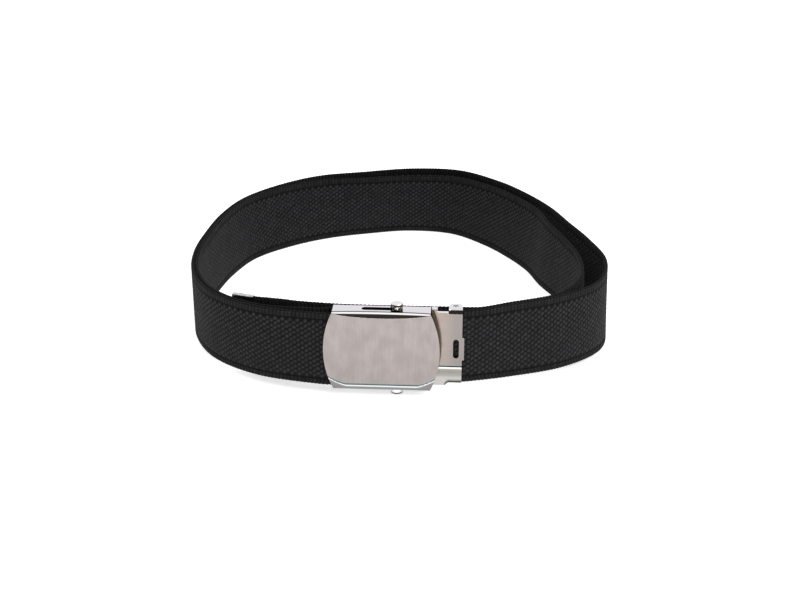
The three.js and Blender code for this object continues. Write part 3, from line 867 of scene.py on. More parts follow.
def face_shoulder(x):
    """How far down from its top the face plate slopes, in an arch from side to side."""
    across = (x - FACE_MIDDLE_X) / (FACE_SPAN / 2)
    return SHOULDER_END + (SHOULDER_MIDDLE - SHOULDER_END) * np.clip(1 - across ** 2, 0, 1) ** 0.7


def below_face_crease(x, z):
    """Distance below the crease that runs along the face plate's foot and rises at its corners."""
    from_side = FACE_SPAN / 2 + bows(z, FACE_BOW) - np.abs(x - FACE_MIDDLE_X)
    corner = np.clip(1 - from_side / CREASE_CORNER, 0, 1) ** CREASE_CURVE
    return CREASE_TALL + CREASE_RISE * corner - (z - BOX_BOTTOM)


def face_relief(x, y, z):
    """Depth of the face plate's sloped shoulder above and of its pressed lower border."""
    shoulder = face_shoulder(x)
    inside = np.clip(shoulder - (BOX_TOP - z), 0, shoulder)
    drop = shoulder_drop(inside, shoulder) * (1 - smooth_share((y - FACE_Y - PLATE_DEPTH) / SHOULDER_FADE))
    below = below_face_crease(x, z)
    border = np.minimum(BORDER_SLOPE * np.clip(below - BEAD_SOFT / 2, 0, None), BORDER_DEEP)
    bead = BEAD_STANDS * smooth_share((below + BEAD_SOFT) / BEAD_SOFT) - border
    bead *= np.clip((z - BOX_BOTTOM) / FOLD_BLEND, 0, 1) * (y < FACE_Y + PLATE_DEPTH)
    return drop - bead


def face_mesh(settings):
    """The face plate with its folded top and bottom, bowed sides and the roller's tracks."""
    back = FACE_Y + FLANGE_SHOWN
    bend = channel_bend(FACE_Y, back, settings.fold / MM)
    length = bend.length
    right = []
    for along in np.linspace(0, length, 130):
        y, z, _, _ = bend.at(np.array([along]))
        on_plate = smooth_share((FACE_Y + PLATE_DEPTH - float(y[0])) / FOLD_BLEND)
        right.append((FACE_RIGHT + float(bows(z, FACE_BOW)[0]) * float(on_plate), float(along)))
    left = [(2 * FACE_MIDDLE_X - x, along) for x, along in reversed(right)]
    track = back - ROLLER_Y + TRACK_FORWARD
    holes = [
        slot_loop(TRACK_MIDDLE_X, track, TRACK_LENGTH / 2, TRACK_HALF_WIDTH),
        slot_loop(TRACK_MIDDLE_X, length - track, TRACK_LENGTH / 2, TRACK_HALF_WIDTH),
    ]
    plate = (length - BOX_TALL) / 2
    fine = [(plate + 1.4, plate + 8.0, 0.3), (plate + BOX_TALL - 3.0, plate + BOX_TALL - 0.75, 0.2)]
    outline = right + left
    return bent_sheet("face_plate", outline, holes, bend, FACE_SHEET, FACE_SPACING, fine, face_relief)


def mark_face(mesh):
    """Stores how far each point lies below the crease, and how far down from the shoulder."""
    x, y, z = places_of(mesh)
    shoulder = face_shoulder(x)
    marked(mesh, "crease", below_face_crease(x, z))
    marked(mesh, "plain", BOX_TOP - z - shoulder)
    marked(mesh, "behind", np.where(z > BOX_MIDDLE, y - FACE_Y - shoulder_drop(shoulder, shoulder), -1.0))


def clamp_edge(x):
    """Height of the clamp frame's lower edge, which steps down at the lip on its left."""
    step = smooth_share((x - CLAMP_LIP_X + 0.6) / 2.0)
    return BOX_BOTTOM + CLAMP_LIP_RISE + (CLAMP_EDGE_RISE - CLAMP_LIP_RISE) * step


def past_left_edge(x, z):
    """Distance to the left of the clamp frame's visible left edge."""
    return CLAMP_LEFT + bows(z, CLAMP_HOLLOW) - x


# Steps of the clamp plate below its crease: how far out, where it starts and how long it is
CLAMP_STEPS = (
    (0.32, -0.5, 0.5),
    (-0.16, 0.1, 0.6),
    (0.3, 0.9, 3.2),
    (-0.3, 4.2, 3.6),
)


def clamp_relief(x, y, z):
    """Depth of the clamp plate's turned-in left edge, its ear's shoulder and its pressed lower part."""
    plate = y < CLAMP_Y + 1.0
    turned_in = np.minimum(TURN_CURVE * np.clip(past_left_edge(x, z), 0, None) ** 2, TURN_DEEP)
    ear = smooth_share((x - (CLAMP_RIGHT - EAR_WIDTH - 0.8)) / 1.2)
    inside = np.clip(EAR_SHOULDER - (BOX_TOP - z), 0, EAR_SHOULDER)
    drop = ear * shoulder_drop(inside, EAR_SHOULDER) * (1 - smooth_share((y - CLAMP_Y - 0.9) / 3.0))
    below = CLAMP_CREASE_Z - z
    press = sum(out * smooth_share((below - start) / length) for out, start, length in CLAMP_STEPS)
    on_lip = smooth_share((CLAMP_LIP_X + LIP_BLEND - x) / (2 * LIP_BLEND))
    lip = LIP_STANDS * smooth_share((LIP_TOP - z) / LIP_TALL) * on_lip
    return turned_in * plate + drop - (press + lip) * plate


def mark_clamp(mesh):
    """Stores where the clamp plate's crease, turned-in edge, polished folds and lower edge lie."""
    x, y, z = places_of(mesh)
    ear_left = CLAMP_RIGHT - EAR_WIDTH
    marked(mesh, "crease", CLAMP_CREASE_Z - z)
    marked(mesh, "past", past_left_edge(x, z) * (y < CLAMP_Y + 1.5))
    on_ear = (x > ear_left - 0.3) & (z > BOX_TOP - EAR_SHOULDER)
    on_rim = (x > CLAMP_LEFT + CLAMP_LUG_LENGTH) & (z > BOX_TOP - NOTCH_DEEP - 0.3)
    folded = (y > CLAMP_Y + 1.6) | (z > BOX_TOP - 0.4) | (z < BOX_BOTTOM + 0.5)
    marked(mesh, "polish", (on_ear | on_rim | folded).astype(float))
    marked(mesh, "edge", z - clamp_edge(x) + 6 * smooth_share((CLAMP_LIP_X - 0.2 - x) / 1.4))


def clamp_mesh(settings):
    """The clamp frame: turned-in left edge, lugs, round ears, window and tab."""
    back = CLAMP_Y + EAR_DEPTH
    bend = channel_bend(CLAMP_Y, back, CLAMP_FOLD)
    length = bend.length
    plate_start = (length - BOX_TALL) / 2
    lug = plate_start - (FACE_Y + FLANGE_DEPTH - CLAMP_Y) + 0.4

    def height(z):
        """Distance along the flat pattern of a height on the plate."""
        return plate_start + (z - BOX_BOTTOM)

    ear_left = CLAMP_RIGHT - EAR_WIDTH
    lug_right = CLAMP_LEFT + CLAMP_LUG_LENGTH
    lower = [
        (CLAMP_LEFT, lug), (lug_right, lug), (lug_right, height(BOX_BOTTOM - 0.4)),
        (CLAMP_LIP_X - 0.9, height(BOX_BOTTOM - 0.4)), (CLAMP_LIP_X - 0.3, height(BOX_BOTTOM)),
        (CLAMP_LIP_X + 0.5, height(BOX_BOTTOM + CLAMP_EDGE_RISE - 0.3)),
        (CLAMP_LIP_X + 1.3, height(BOX_BOTTOM + CLAMP_EDGE_RISE)),
        (ear_left - 0.05, height(BOX_BOTTOM + CLAMP_EDGE_RISE)), (ear_left, height(BOX_BOTTOM)),
        *arc_points((PIVOT_X, EAR_WIDTH / 2), EAR_WIDTH / 2, 180, 360, 24),
    ]
    notch_right = (ear_left, height(BOX_TOP - NOTCH_DEEP))
    notch_left = (lug_right, height(BOX_TOP - NOTCH_DEEP))
    upper = [
        *arc_points((PIVOT_X, length - EAR_WIDTH / 2), EAR_WIDTH / 2, 0, 180, 24),
        *rounded_corner(notch_right, (ear_left, height(BOX_TOP)), notch_left, NOTCH_EAR_ROUND),
        *rounded_corner(notch_left, notch_right, (lug_right, height(BOX_TOP)), NOTCH_LUG_ROUND),
        (lug_right, length - lug), (CLAMP_LEFT, length - lug),
    ]
    tab_low = height(BOX_MIDDLE - WINDOW_DROP - TAB_TALL / 2)
    tab_high = height(BOX_MIDDLE - WINDOW_DROP + TAB_TALL / 2)
    edge = CLAMP_RIGHT + TAB_LENGTH
    tab = [
        (CLAMP_RIGHT, tab_low),
        *rounded_corner((edge, tab_low), (CLAMP_RIGHT, tab_low), (edge, tab_high), TAB_ROUND),
        *rounded_corner((edge, tab_high), (edge, tab_low), (CLAMP_RIGHT, tab_high), TAB_ROUND),
        (CLAMP_RIGHT, tab_high),
    ]
    hollow = []
    for z in np.linspace(BOX_TOP - 0.9, BOX_BOTTOM + 0.9, 40):
        turned_in = TURNED_IN * math.sin(math.pi * (z - BOX_BOTTOM) / BOX_TALL)
        hollow.append((CLAMP_LEFT + float(bows(z, CLAMP_HOLLOW)) - turned_in, height(z)))
    window = slot_loop(CLAMP_RIGHT - WINDOW_INSET, height(BOX_MIDDLE - WINDOW_DROP),
                       WINDOW_WIDTH / 2, WINDOW_TALL / 2)
    pivot_v = CLAMP_Y + EAR_DEPTH - PIVOT_Y
    holes = [
        window,
        arc_points((PIVOT_X, pivot_v), PIVOT_HOLE, 0, 345, 23),
        arc_points((PIVOT_X, length - pivot_v), PIVOT_HOLE, 0, 345, 23),
    ]
    fine = [(height(4.7), height(15.0), 0.25), (height(BOX_TOP - 2.8), height(BOX_TOP - 0.7), 0.2)]
    outline = lower + tab + upper + hollow
    return bent_sheet("clamp_plate", outline, holes, bend, CLAMP_SHEET, CLAMP_SPACING, fine, clamp_relief)


def lever_mesh():
    """The clamp lever: a rounded plate with a pivot stub at each end."""
    right = CLAMP_RIGHT - LEVER_INSET
    low = BOX_BOTTOM + SHEET + METAL_GAP + LEVER_SHORT
    high = BOX_TOP - SHEET - METAL_GAP - LEVER_SHORT
    radius = PIVOT_DIAMETER / 2
    solid = bmesh.new()

    def block(corner_low, corner_high):
        """A box between two corners, added to the solid."""
        made = bmesh.ops.create_cube(solid, size=1.0)["verts"]
        low_place, high_place = to_frame([corner_low])[0], to_frame([corner_high])[0]
        for vert in made:
            vert.co = Vector([
                low_place[axis] if vert.co[axis] < 0 else high_place[axis] for axis in range(3)
            ])
        return made

    plate = block((right - LEVER_LENGTH, LEVER_Y, low), (right, LEVER_Y + LEVER_THICK, high))
    edges = list({edge for vert in plate for edge in vert.link_edges})
    bmesh.ops.bevel(solid, geom=edges, offset=LEVER_ROUND * MM, segments=3, affect="EDGES", profile=0.5)
    mesh = bpy.data.meshes.new("lever")
    ends = (
        (BOX_BOTTOM + STUB_SUNK, low + STUB_OVERLAP),
        (BOX_TOP - STUB_SUNK, high - STUB_OVERLAP),
    )
    for end, inside in ends:
        dome = math.copysign(STUB_DOME, end - inside)
        profile = [
            (0, end), (radius * 0.7, end - dome * 0.35), (radius, end - dome), (radius, inside), (0, inside),
        ]
        if end > inside:
            profile.reverse()
        stub = turned("stub", profile, (PIVOT_X, PIVOT_Y), 24)
        solid.from_mesh(stub)
        bpy.data.meshes.remove(stub)
    bmesh.ops.recalc_face_normals(solid, faces=solid.faces)
    solid.to_mesh(mesh)
    solid.free()
    return smoothed(mesh, 35)


def turned(name, profile, middle, sides=48):
    """A solid of revolution about an upright line."""
    turns = np.radians(np.arange(sides) * 360 / sides)
    profile = np.array(profile, float)
    inner = profile[1:-1]
    rings = np.stack([
        middle[0] + inner[:, None, 0] * np.cos(turns)[None],
        middle[1] + inner[:, None, 0] * np.sin(turns)[None],
        inner[:, None, 1] + np.zeros((1, sides)),
    ], axis=-1).reshape(-1, 3)
    ends = [(*middle, profile[0, 1]), (*middle, profile[-1, 1])]
    points = np.vstack([rings, ends])
    faces = strip_faces(len(inner), sides, True).tolist()
    low, high, last = len(rings), len(rings) + 1, len(rings) - sides
    for corner in range(sides):
        following = (corner + 1) % sides
        faces.append([low, following, corner])
        faces.append([high, last + corner, last + following])
    return smoothed(mesh_of(name, points, faces), 50)


# The knob's rounded edge towards the neck: inset from its radius, distance from its inner end
KNOB_EDGE = ((0.0, 0.55), (0.08, 0.25), (0.35, 0.03), (0.6, 0.0))
# Height over which the foot's painted contact shadow fades out
FOOT_SHADOW_FADE = 0.3
NECK_FILLET = 0.15
BAR_CHAMFER = 0.2


def roller_end(dome):
    """Half of the roller's profile: a knob with a domed end, the neck and the start of the bar."""
    knob, neck, bar = KNOB_DIAMETER / 2, ROLLER_NECK_DIAMETER / 2, ROLLER_DIAMETER / 2
    profile = [(0.0, 0.0)]
    for step in range(1, 15):
        turn = math.pi / 2 * step / 14
        profile.append((knob * math.sin(turn), dome * (1 - math.cos(turn))))
    # Rings where the foot's painted contact shadow fades out
    profile += [(knob, z) for z in (FOOT_SHADOW_TOP - FOOT_SHADOW_FADE, FOOT_SHADOW_TOP) if z > dome]
    profile += [(knob - inset, KNOB_TALL - back) for inset, back in KNOB_EDGE]
    profile += [
        (neck + NECK_FILLET, KNOB_TALL), (neck, KNOB_TALL + NECK_FILLET), (neck, WEB_LIFT),
        (bar - BAR_CHAMFER, WEB_LIFT), (bar, WEB_LIFT + BAR_CHAMFER),
    ]
    return profile


def roller_mesh():
    """The roller: a flat foot below, a domed knob above."""
    upper = [(radius, 2 * BOX_MIDDLE - z) for radius, z in reversed(roller_end(KNOB_DOME))]
    return turned("roller", roller_end(FOOT_DOME) + upper, (ROLLER_X, ROLLER_Y))


def mark_knobs(mesh):
    """Stores where the painted shade lies: on the upper knob below its cap, and a painted contact shadow on
    the rim of the foot.
    """
    _, _, z = places_of(mesh)
    top = 2 * BOX_MIDDLE
    upper = smooth_share((top - 0.9 - z) / 0.4) * (z > BOX_MIDDLE)
    foot = 2.0 * smooth_share((FOOT_SHADOW_TOP - z) / FOOT_SHADOW_FADE)
    marked(mesh, "film_and_painted_shade", np.maximum(upper, foot))


# Sections of the tip: distance along it from its closed end, growth and corner radius
TIP_SECTIONS = (
    (3.0 - TIP_LENGTH, -TIP_SHEET, 0.5),
    (-TIP_LENGTH, -TIP_SHEET, 0.5),
    (-0.02 - TIP_LENGTH, -TIP_SHEET / 2, 0.7),
    (-TIP_LENGTH, 0.0, 0.9),
    (1.1 - TIP_LENGTH, 0.02, 0.9),
    (1.3 - TIP_LENGTH, -0.06, 0.9),
    (1.5 - TIP_LENGTH, 0.0, 0.9),
    (-5.0, 0.0, 0.9),
    (-0.8, 0.0, 0.9),
    (-0.4, -0.1, 0.85),
    (-0.12, -0.32, 0.7),
    (0.0, -0.62, 0.45),
)


def tip_mesh():
    """The pressed metal end: a flat sleeve with rounded edges, open where the web goes in."""
    shell = TIP_SHEET + TIP_FIT
    half_thick, low, high = WEB_THICK / 2 + shell, -shell, WEB_WIDTH + shell

    def section(grow, corner):
        """One ring round the sleeve, grown and rounded by the given sizes."""
        half, bottom, top = half_thick + grow, low - grow, high + grow
        middles = [((half - corner, top - corner), 0), ((-half + corner, top - corner), 90),
                   ((-half + corner, bottom + corner), 180), ((half - corner, bottom + corner), 270)]
        ring = []
        for middle, start in middles:
            ring += arc_points(middle, corner, start, start + 90, 6)
        return ring

    side = np.array([-TIP_DIRECTION[1], TIP_DIRECTION[0]])
    outward = math.copysign(1, side @ TIP_MOUTH)
    points = []
    for along, grow, corner in TIP_SECTIONS:
        for offset, height in section(grow, corner):
            plan = TIP_END + TIP_DIRECTION * along + side * (offset + outward * TIP_LEAN * height)
            points.append((plan[0], plan[1], TIP_LIFT + height))
    sides = len(points) // len(TIP_SECTIONS)
    faces = strip_faces(len(TIP_SECTIONS), sides, True).tolist()
    faces.append(list(range(sides)))
    last = len(points) - sides
    faces.append(list(range(len(points) - 1, last - 1, -1)))
    mesh = mesh_of("tip_shell", points, faces)
    solid = bmesh.new()
    solid.from_mesh(mesh)
    bmesh.ops.recalc_face_normals(solid, faces=solid.faces)
    solid.to_mesh(mesh)
    solid.free()
    return smoothed(mesh, 50)


# Materials

POLISHED_ROUGH = 0.08
WHITE = (1.0, 1.0, 1.0)
DARK_BAND = (0.035, 0.028, 0.024)


def new_material(name):
    """An empty node material with its output and main shader."""
    material = bpy.data.materials.get(name) or bpy.data.materials.new(name)
    material.use_nodes = True
    tree = material.node_tree
    tree.nodes.clear()
    output = tree.nodes.new("ShaderNodeOutputMaterial")
    shader = tree.nodes.new("ShaderNodeBsdfPrincipled")
    tree.links.new(shader.outputs["BSDF"], output.inputs["Surface"])
    return material, tree, shader


def noise_in(tree, scale, stretch=(1, 1, 1), detail=4.0, rough=0.55):
    """Noise in the piece's own metres, stretched along chosen axes."""
    place = tree.nodes.new("ShaderNodeTexCoord")
    mapping = tree.nodes.new("ShaderNodeMapping")
    mapping.inputs["Scale"].default_value = stretch
    noise = tree.nodes.new("ShaderNodeTexNoise")
    noise.inputs["Scale"].default_value = scale
    noise.inputs["Detail"].default_value = detail
    noise.inputs["Roughness"].default_value = rough
    tree.links.new(place.outputs["Object"], mapping.inputs["Vector"])
    tree.links.new(mapping.outputs["Vector"], noise.inputs["Vector"])
    return noise.outputs["Fac"]


def ranged(tree, value, low, high, start=0.3, end=0.7):
    """The value between start and end spread from low to high."""
    node = tree.nodes.new("ShaderNodeMapRange")
    node.inputs["From Min"].default_value = start
    node.inputs["From Max"].default_value = end
    node.inputs["To Min"].default_value = low
    node.inputs["To Max"].default_value = high
    tree.links.new(value, node.inputs["Value"])
    return node.outputs["Result"]


def blended(tree, share, first, second, mode="MIX"):
    """Two colours, or a colour and a socket, mixed by a share."""
    node = tree.nodes.new("ShaderNodeMix")
    node.data_type = "RGBA"
    node.blend_type = mode
    for socket, value in ((node.inputs[0], share), (node.inputs[6], first), (node.inputs[7], second)):
        if isinstance(value, bpy.types.NodeSocket):
            tree.links.new(value, socket)
        elif isinstance(value, (int, float)):
            socket.default_value = value
        else:
            socket.default_value = (*value, 1.0)
    return node.outputs[2]


def mixed(tree, share, first, second):
    """Two numbers, each a value or a socket, mixed by a share."""
    node = tree.nodes.new("ShaderNodeMix")
    for socket, value in ((node.inputs[0], share), (node.inputs[2], first), (node.inputs[3], second)):
        if isinstance(value, bpy.types.NodeSocket):
            tree.links.new(value, socket)
        else:
            socket.default_value = value
    return node.outputs[0]


def scaled(colour, share):
    """The colour made darker or lighter by a share."""
    return tuple(channel * share for channel in colour)


def mark_in(tree, name):
    """The number that marked() stored under a name."""
    node = tree.nodes.new("ShaderNodeAttribute")
    node.attribute_name = name
    return node.outputs["Fac"]


def ramped(tree, value, stops):
    """Colours along a distance in millimetres, blended between the stops."""
    low, high = stops[0][0], stops[-1][0]
    node = tree.nodes.new("ShaderNodeValToRGB")
    elements = node.color_ramp.elements
    elements[0].color = (*stops[0][1], 1.0)
    elements[1].color = (*stops[-1][1], 1.0)
    for place, colour in stops[1:-1]:
        elements.new((place - low) / (high - low)).color = (*colour, 1.0)
    tree.links.new(ranged(tree, value, 0.0, 1.0, low, high), node.inputs["Fac"])
    return node.outputs["Color"]


def bumped(tree, shader, height, distance, strength):
    """Fine relief from a height, on the shader."""
    node = tree.nodes.new("ShaderNodeBump")
    node.inputs["Strength"].default_value = strength
    node.inputs["Distance"].default_value = distance
    tree.links.new(height, node.inputs["Height"])
    tree.links.new(node.outputs["Normal"], shader.inputs["Normal"])


def rubbed(tree, shader):
    """Faint rubbing marks across plated metal."""
    bumped(tree, shader, noise_in(tree, 1.0, (500, 500, 5000), 3.0), 0.000004, 0.35)


def web_material(settings):
    """Black cotton yarn with fibre noise and a soft nap, and painted light: painted shade in the weave's
    gaps and on the ground, painted highlights on the float and rib crowns.
    """
    material, tree, shader = new_material("web_yarn")
    fibre = noise_in(tree, 2600.0, (1, 1, 0.5), 3.0)
    patch = noise_in(tree, 160.0, detail=3.0)
    worn = blended(tree, ranged(tree, patch, 0.0, 1.0), scaled(settings.yarn, 0.72), tuple(settings.yarn))
    fuzzy = blended(tree, ranged(tree, fibre, 0.0, 0.5), worn, tuple(settings.shade))
    # Painted light: the shade colour in the gaps and on the unmarked ground, the lit yarn colour on the
    # float and rib crowns
    lift = ranged(tree, mark_in(tree, "painted_crown_light"), 0.0, 1.0, 0.15, 0.95)
    tree.links.new(blended(tree, lift, tuple(settings.shade), fuzzy), shader.inputs["Base Color"])
    shader.inputs["Roughness"].default_value = 0.95
    shader.inputs["Specular IOR Level"].default_value = 0.12
    shader.inputs["Sheen Weight"].default_value = 0.03
    shader.inputs["Sheen Roughness"].default_value = 0.5
    bumped(tree, shader, fibre, 0.00012, 0.8)
    return material


def face_material(settings):
    """Face plate: upright brushing, polished shoulder and folds, a satin border, a painted highlight on the
    bead above the border with painted shade above it, and a painted highlight and dark band on the upper
    fold.
    """
    material, tree, shader = new_material("brushed_face")
    hair = noise_in(tree, 1.0, (9000, 300, 45), 5.0, 0.6)
    streak = noise_in(tree, 1.0, (1500, 60, 55), 4.0, 0.65)
    cloud = noise_in(tree, 1.0, (170, 60, 110), 3.0, 0.5)
    face, polish, border = tuple(settings.face), tuple(settings.polish), tuple(settings.border)
    lined = blended(tree, ranged(tree, streak, 0.0, 1.0), scaled(face, 0.86), face)
    brushed = blended(tree, ranged(tree, cloud, 0.0, 0.5, 0.36, 0.66), lined, scaled(face, 0.66))
    crease, plain = mark_in(tree, "crease"), mark_in(tree, "plain")
    # Painted light round the crease: soft and line are painted shade above it, bead is a painted highlight
    # on the bead below it, then the satin border
    soft, line, bead = (0.30, 0.32, 0.32), (0.19, 0.215, 0.22), (0.64, 0.67, 0.68)
    trim = ramped(tree, crease, (
        (-1.4, soft), (-0.6, line), (-0.1, line), (0.08, bead), (0.65, bead),
        (1.0, border), (1.7, scaled(border, 1.2)), (2.3, border), (3.1, border),
    ))
    above = ranged(tree, crease, 1.0, 0.0, -1.5, -0.7)
    flat = ranged(tree, plain, 0.0, 1.0, -0.06, 0.06)
    lower = blended(tree, above, trim, brushed)
    # Painted reflections on the upper fold: a painted highlight where it turns, a painted dark band behind
    # it, then the polished flange
    bright, dark = (0.98, 0.98, 0.98), (0.1, 0.095, 0.1)
    fold = ramped(tree, mark_in(tree, "behind"), (
        (0.0, bright), (0.3, bright), (0.45, dark), (1.15, dark), (1.7, polish), (2.6, polish),
    ))
    tree.links.new(blended(tree, flat, fold, lower), shader.inputs["Base Color"])
    rough_lower = mixed(tree, above, 0.2, ranged(tree, hair, 0.26, 0.4))
    tree.links.new(mixed(tree, flat, POLISHED_ROUGH, rough_lower), shader.inputs["Roughness"])
    shader.inputs["Metallic"].default_value = 1.0
    bumped(tree, shader, hair, 0.000006, 0.5)
    return material


def clamp_material(settings):
    """Clamp frame: satin plating from tan to grey and polished folds, with a painted highlight on the bead
    and painted shade above it, a painted brown reflection on the turned-in edge, and a painted dark line and
    floor reflection along the lower edge.
    """
    material, tree, shader = new_material("plated_frame")
    cloud = noise_in(tree, 160.0)
    place = tree.nodes.new("ShaderNodeTexCoord")
    parts = tree.nodes.new("ShaderNodeSeparateXYZ")
    tree.links.new(place.outputs["Object"], parts.inputs["Vector"])
    start, end = ((edge + SHIFT[0]) * MM for edge in (CLAMP_LEFT, CLAMP_RIGHT - 3.0))
    near, far = tuple(settings.frame), tuple(settings.frame_far)
    plated = blended(tree, ranged(tree, parts.outputs["X"], 0.0, 1.0, start, end), near, far)
    clouded = blended(tree, ranged(tree, cloud, 0.0, 0.25), plated, far)
    crease = mark_in(tree, "crease")
    # Painted light round the crease: painted shade in teal above it, a painted highlight on the bead, then
    # darker and lighter bands down the pressed part
    bead = (0.74, 0.76, 0.75)
    lower = ramped(tree, crease, (
        (-0.9, (0.26, 0.31, 0.31)), (-0.05, (0.22, 0.265, 0.265)), (0.12, bead), (0.8, bead),
        (1.2, (0.31, 0.29, 0.262)), (2.4, (0.24, 0.227, 0.208)),
        (4.2, (0.29, 0.278, 0.26)), (5.6, (0.42, 0.405, 0.39)),
    ))
    below = ranged(tree, crease, 0.0, 1.0, -0.95, -0.6)
    plate = blended(tree, below, clouded, lower)
    # Painted reflection: the turned-in edge painted brown, darkening into painted shade further in, with
    # less metal
    past = mark_in(tree, "past")
    brown = tuple(settings.brown)
    turned_in = ramped(tree, past, ((0.0, brown), (1.4, scaled(brown, 0.6)), (3.0, scaled(brown, 0.2))))
    inward = ranged(tree, past, 0.0, 1.0, -0.05, 0.25)
    edged = blended(tree, inward, plate, turned_in)
    polish = ranged(tree, mark_in(tree, "polish"), 0.0, 1.0, 0.0, 1.0)
    folded = blended(tree, polish, edged, tuple(settings.polish))
    # Painted light along the lower edge: a painted floor reflection at twice white below it, and a painted
    # dark line just above it
    lit, line = scaled(WHITE, 2.0), (0.13, 0.14, 0.14)
    rim = ramped(tree, mark_in(tree, "edge"), (
        (0.0, lit), (0.1, lit), (0.3, line), (0.95, line), (1.5, scaled(WHITE, 0.65)), (2.3, WHITE),
    ))
    tree.links.new(blended(tree, 1.0, folded, rim, "MULTIPLY"), shader.inputs["Base Color"])
    satin = ranged(tree, cloud, 0.2, 0.3)
    rough = mixed(tree, polish, mixed(tree, inward, satin, 0.5), POLISHED_ROUGH)
    tree.links.new(rough, shader.inputs["Roughness"])
    tree.links.new(mixed(tree, inward, 1.0, 0.3), shader.inputs["Metallic"])
    rubbed(tree, shader)
    return material


def lever_material(settings):
    """Lever: smooth plating with faint clouding and rubbing marks."""
    material, tree, shader = new_material("lever_steel")
    cloud = noise_in(tree, 160.0)
    steel = tuple(settings.steel)
    clouded = blended(tree, ranged(tree, cloud, 0.0, 1.0), scaled(steel, 0.93), steel)
    tree.links.new(clouded, shader.inputs["Base Color"])
    tree.links.new(ranged(tree, cloud, 0.3, 0.42), shader.inputs["Roughness"])
    shader.inputs["Metallic"].default_value = 1.0
    rubbed(tree, shader)
    return material


def knob_material(settings):
    """Roller: polished ends, with patchy painted shade on the upper knob below its cap and a painted contact
    shadow on the rim of the foot.
    """
    material, tree, shader = new_material("roller_chrome")
    film_and_painted_shade = mark_in(tree, "film_and_painted_shade")
    patch = noise_in(tree, 520.0, (1, 1, 1.6), 2.0)
    chrome, tarnish_and_painted_shade = tuple(settings.chrome), tuple(settings.tarnish_and_painted_shade)
    mottled = blended(tree, ranged(tree, patch, 0.0, 1.0, 0.56, 0.66), tarnish_and_painted_shade, chrome)
    filmed = blended(tree, ranged(tree, film_and_painted_shade, 0.0, 1.0, 0.0, 1.0), chrome, mottled)
    # Painted contact shadow: the foot's rim in the solid dark colour
    foot = ranged(tree, film_and_painted_shade, 0.0, 1.0, 1.1, 1.6)
    tree.links.new(blended(tree, foot, filmed, tarnish_and_painted_shade), shader.inputs["Base Color"])
    tree.links.new(ranged(tree, patch, 0.06, 0.16), shader.inputs["Roughness"])
    shader.inputs["Metallic"].default_value = 1.0
    return material


def tip_material(settings):
    """Metal tip: nickel with brownish clouds."""
    material, tree, shader = new_material("tip_nickel")
    cloud = noise_in(tree, 330.0, (1, 1, 0.5), 4.0)
    worn = tuple((metal + 3 * film_and_painted_shade) / 4 for metal, film_and_painted_shade in zip(settings.chrome, settings.tarnish_and_painted_shade))
    colour = blended(tree, ranged(tree, cloud, 0.0, 1.0, 0.35, 0.6), worn, tuple(settings.chrome))
    tree.links.new(colour, shader.inputs["Base Color"])
    tree.links.new(ranged(tree, cloud, 0.28, 0.12), shader.inputs["Roughness"])
    shader.inputs["Metallic"].default_value = 1.0
    return material


# Operators

class BELT_OT_web(bpy.types.Operator):
    """Weave the web: its ground, its floats and its ribbed edges."""

    bl_idname = "belt.weave_web"
    bl_label = "Weave Web"

    def execute(self, context):
        settings = context.scene.belt_web
        run = WebRun()
        yarn = web_material(settings)
        placed("web_ground", web_ground(run, settings), yarn, "web", "web_strap")
        for face, side in ((1, "left"), (-1, "right")):
            for part in range(2):
                mesh = web_floats(run, settings, face, part, 2, 11 + part + 2 * (face > 0))
                placed(f"web_floats_{side}_{part + 1}", mesh, yarn, "web", "web_strap")
        for upper in (True, False):
            mesh = web_selvage(run, settings, upper)
            placed(mesh.name, mesh, yarn, "web", "web_strap")
        return {"FINISHED"}


class BELT_OT_face(bpy.types.Operator):
    """Fold the face plate with its flanges and tracks."""

    bl_idname = "belt.fold_face"
    bl_label = "Fold Face Plate"

    def execute(self, context):
        settings = context.scene.belt_buckle
        metal = face_material(settings)
        piece = placed("face_plate", face_mesh(settings), metal, "brushed_face", "buckle_face")
        rounded_edges(piece, settings.edge_round)
        mark_face(piece.data)
        return {"FINISHED"}


class BELT_OT_clamp(bpy.types.Operator):
    """Fold the clamp frame and finish its lever."""

    bl_idname = "belt.fold_clamp"
    bl_label = "Fold Clamp Frame"

    def execute(self, context):
        settings = context.scene.belt_buckle
        metal = clamp_material(settings)
        piece = placed("clamp_plate", clamp_mesh(settings), metal, "plated_frame", "clamp_frame")
        rounded_edges(piece, settings.edge_round)
        mark_clamp(piece.data)
        placed("lever", lever_mesh(), lever_material(settings), "lever_steel", "clamp_lever")
        return {"FINISHED"}


class BELT_OT_roller(bpy.types.Operator):
    """Turn the locking roller with its two knobs."""

    bl_idname = "belt.turn_roller"
    bl_label = "Turn Roller"

    def execute(self, context):
        settings = context.scene.belt_buckle
        piece = placed("roller", roller_mesh(), knob_material(settings), "roller_chrome", "locking_roller")
        mark_knobs(piece.data)
        return {"FINISHED"}


class BELT_OT_tip(bpy.types.Operator):
    """Press the metal tip onto the web's free end."""

    bl_idname = "belt.press_tip"
    bl_label = "Press Tip"

    def execute(self, context):
        settings = context.scene.belt_buckle
        placed("tip_shell", tip_mesh(), tip_material(settings), "tip_nickel", "strap_tip")
        return {"FINISHED"}


def soft_light(name, power, place, size):
    """A large light aimed at the belt."""
    lamp = bpy.data.lights.new(name, "AREA")
    lamp.energy = power
    lamp.shape = "RECTANGLE"
    lamp.size, lamp.size_y = size
    light = bpy.data.objects.new(name, lamp)
    light.location = place
    aim = Vector((0, 0, 0.02)) - light.location
    light.rotation_euler = aim.to_track_quat("-Z", "Y").to_euler()
    bpy.context.scene.collection.objects.link(light)
    return light


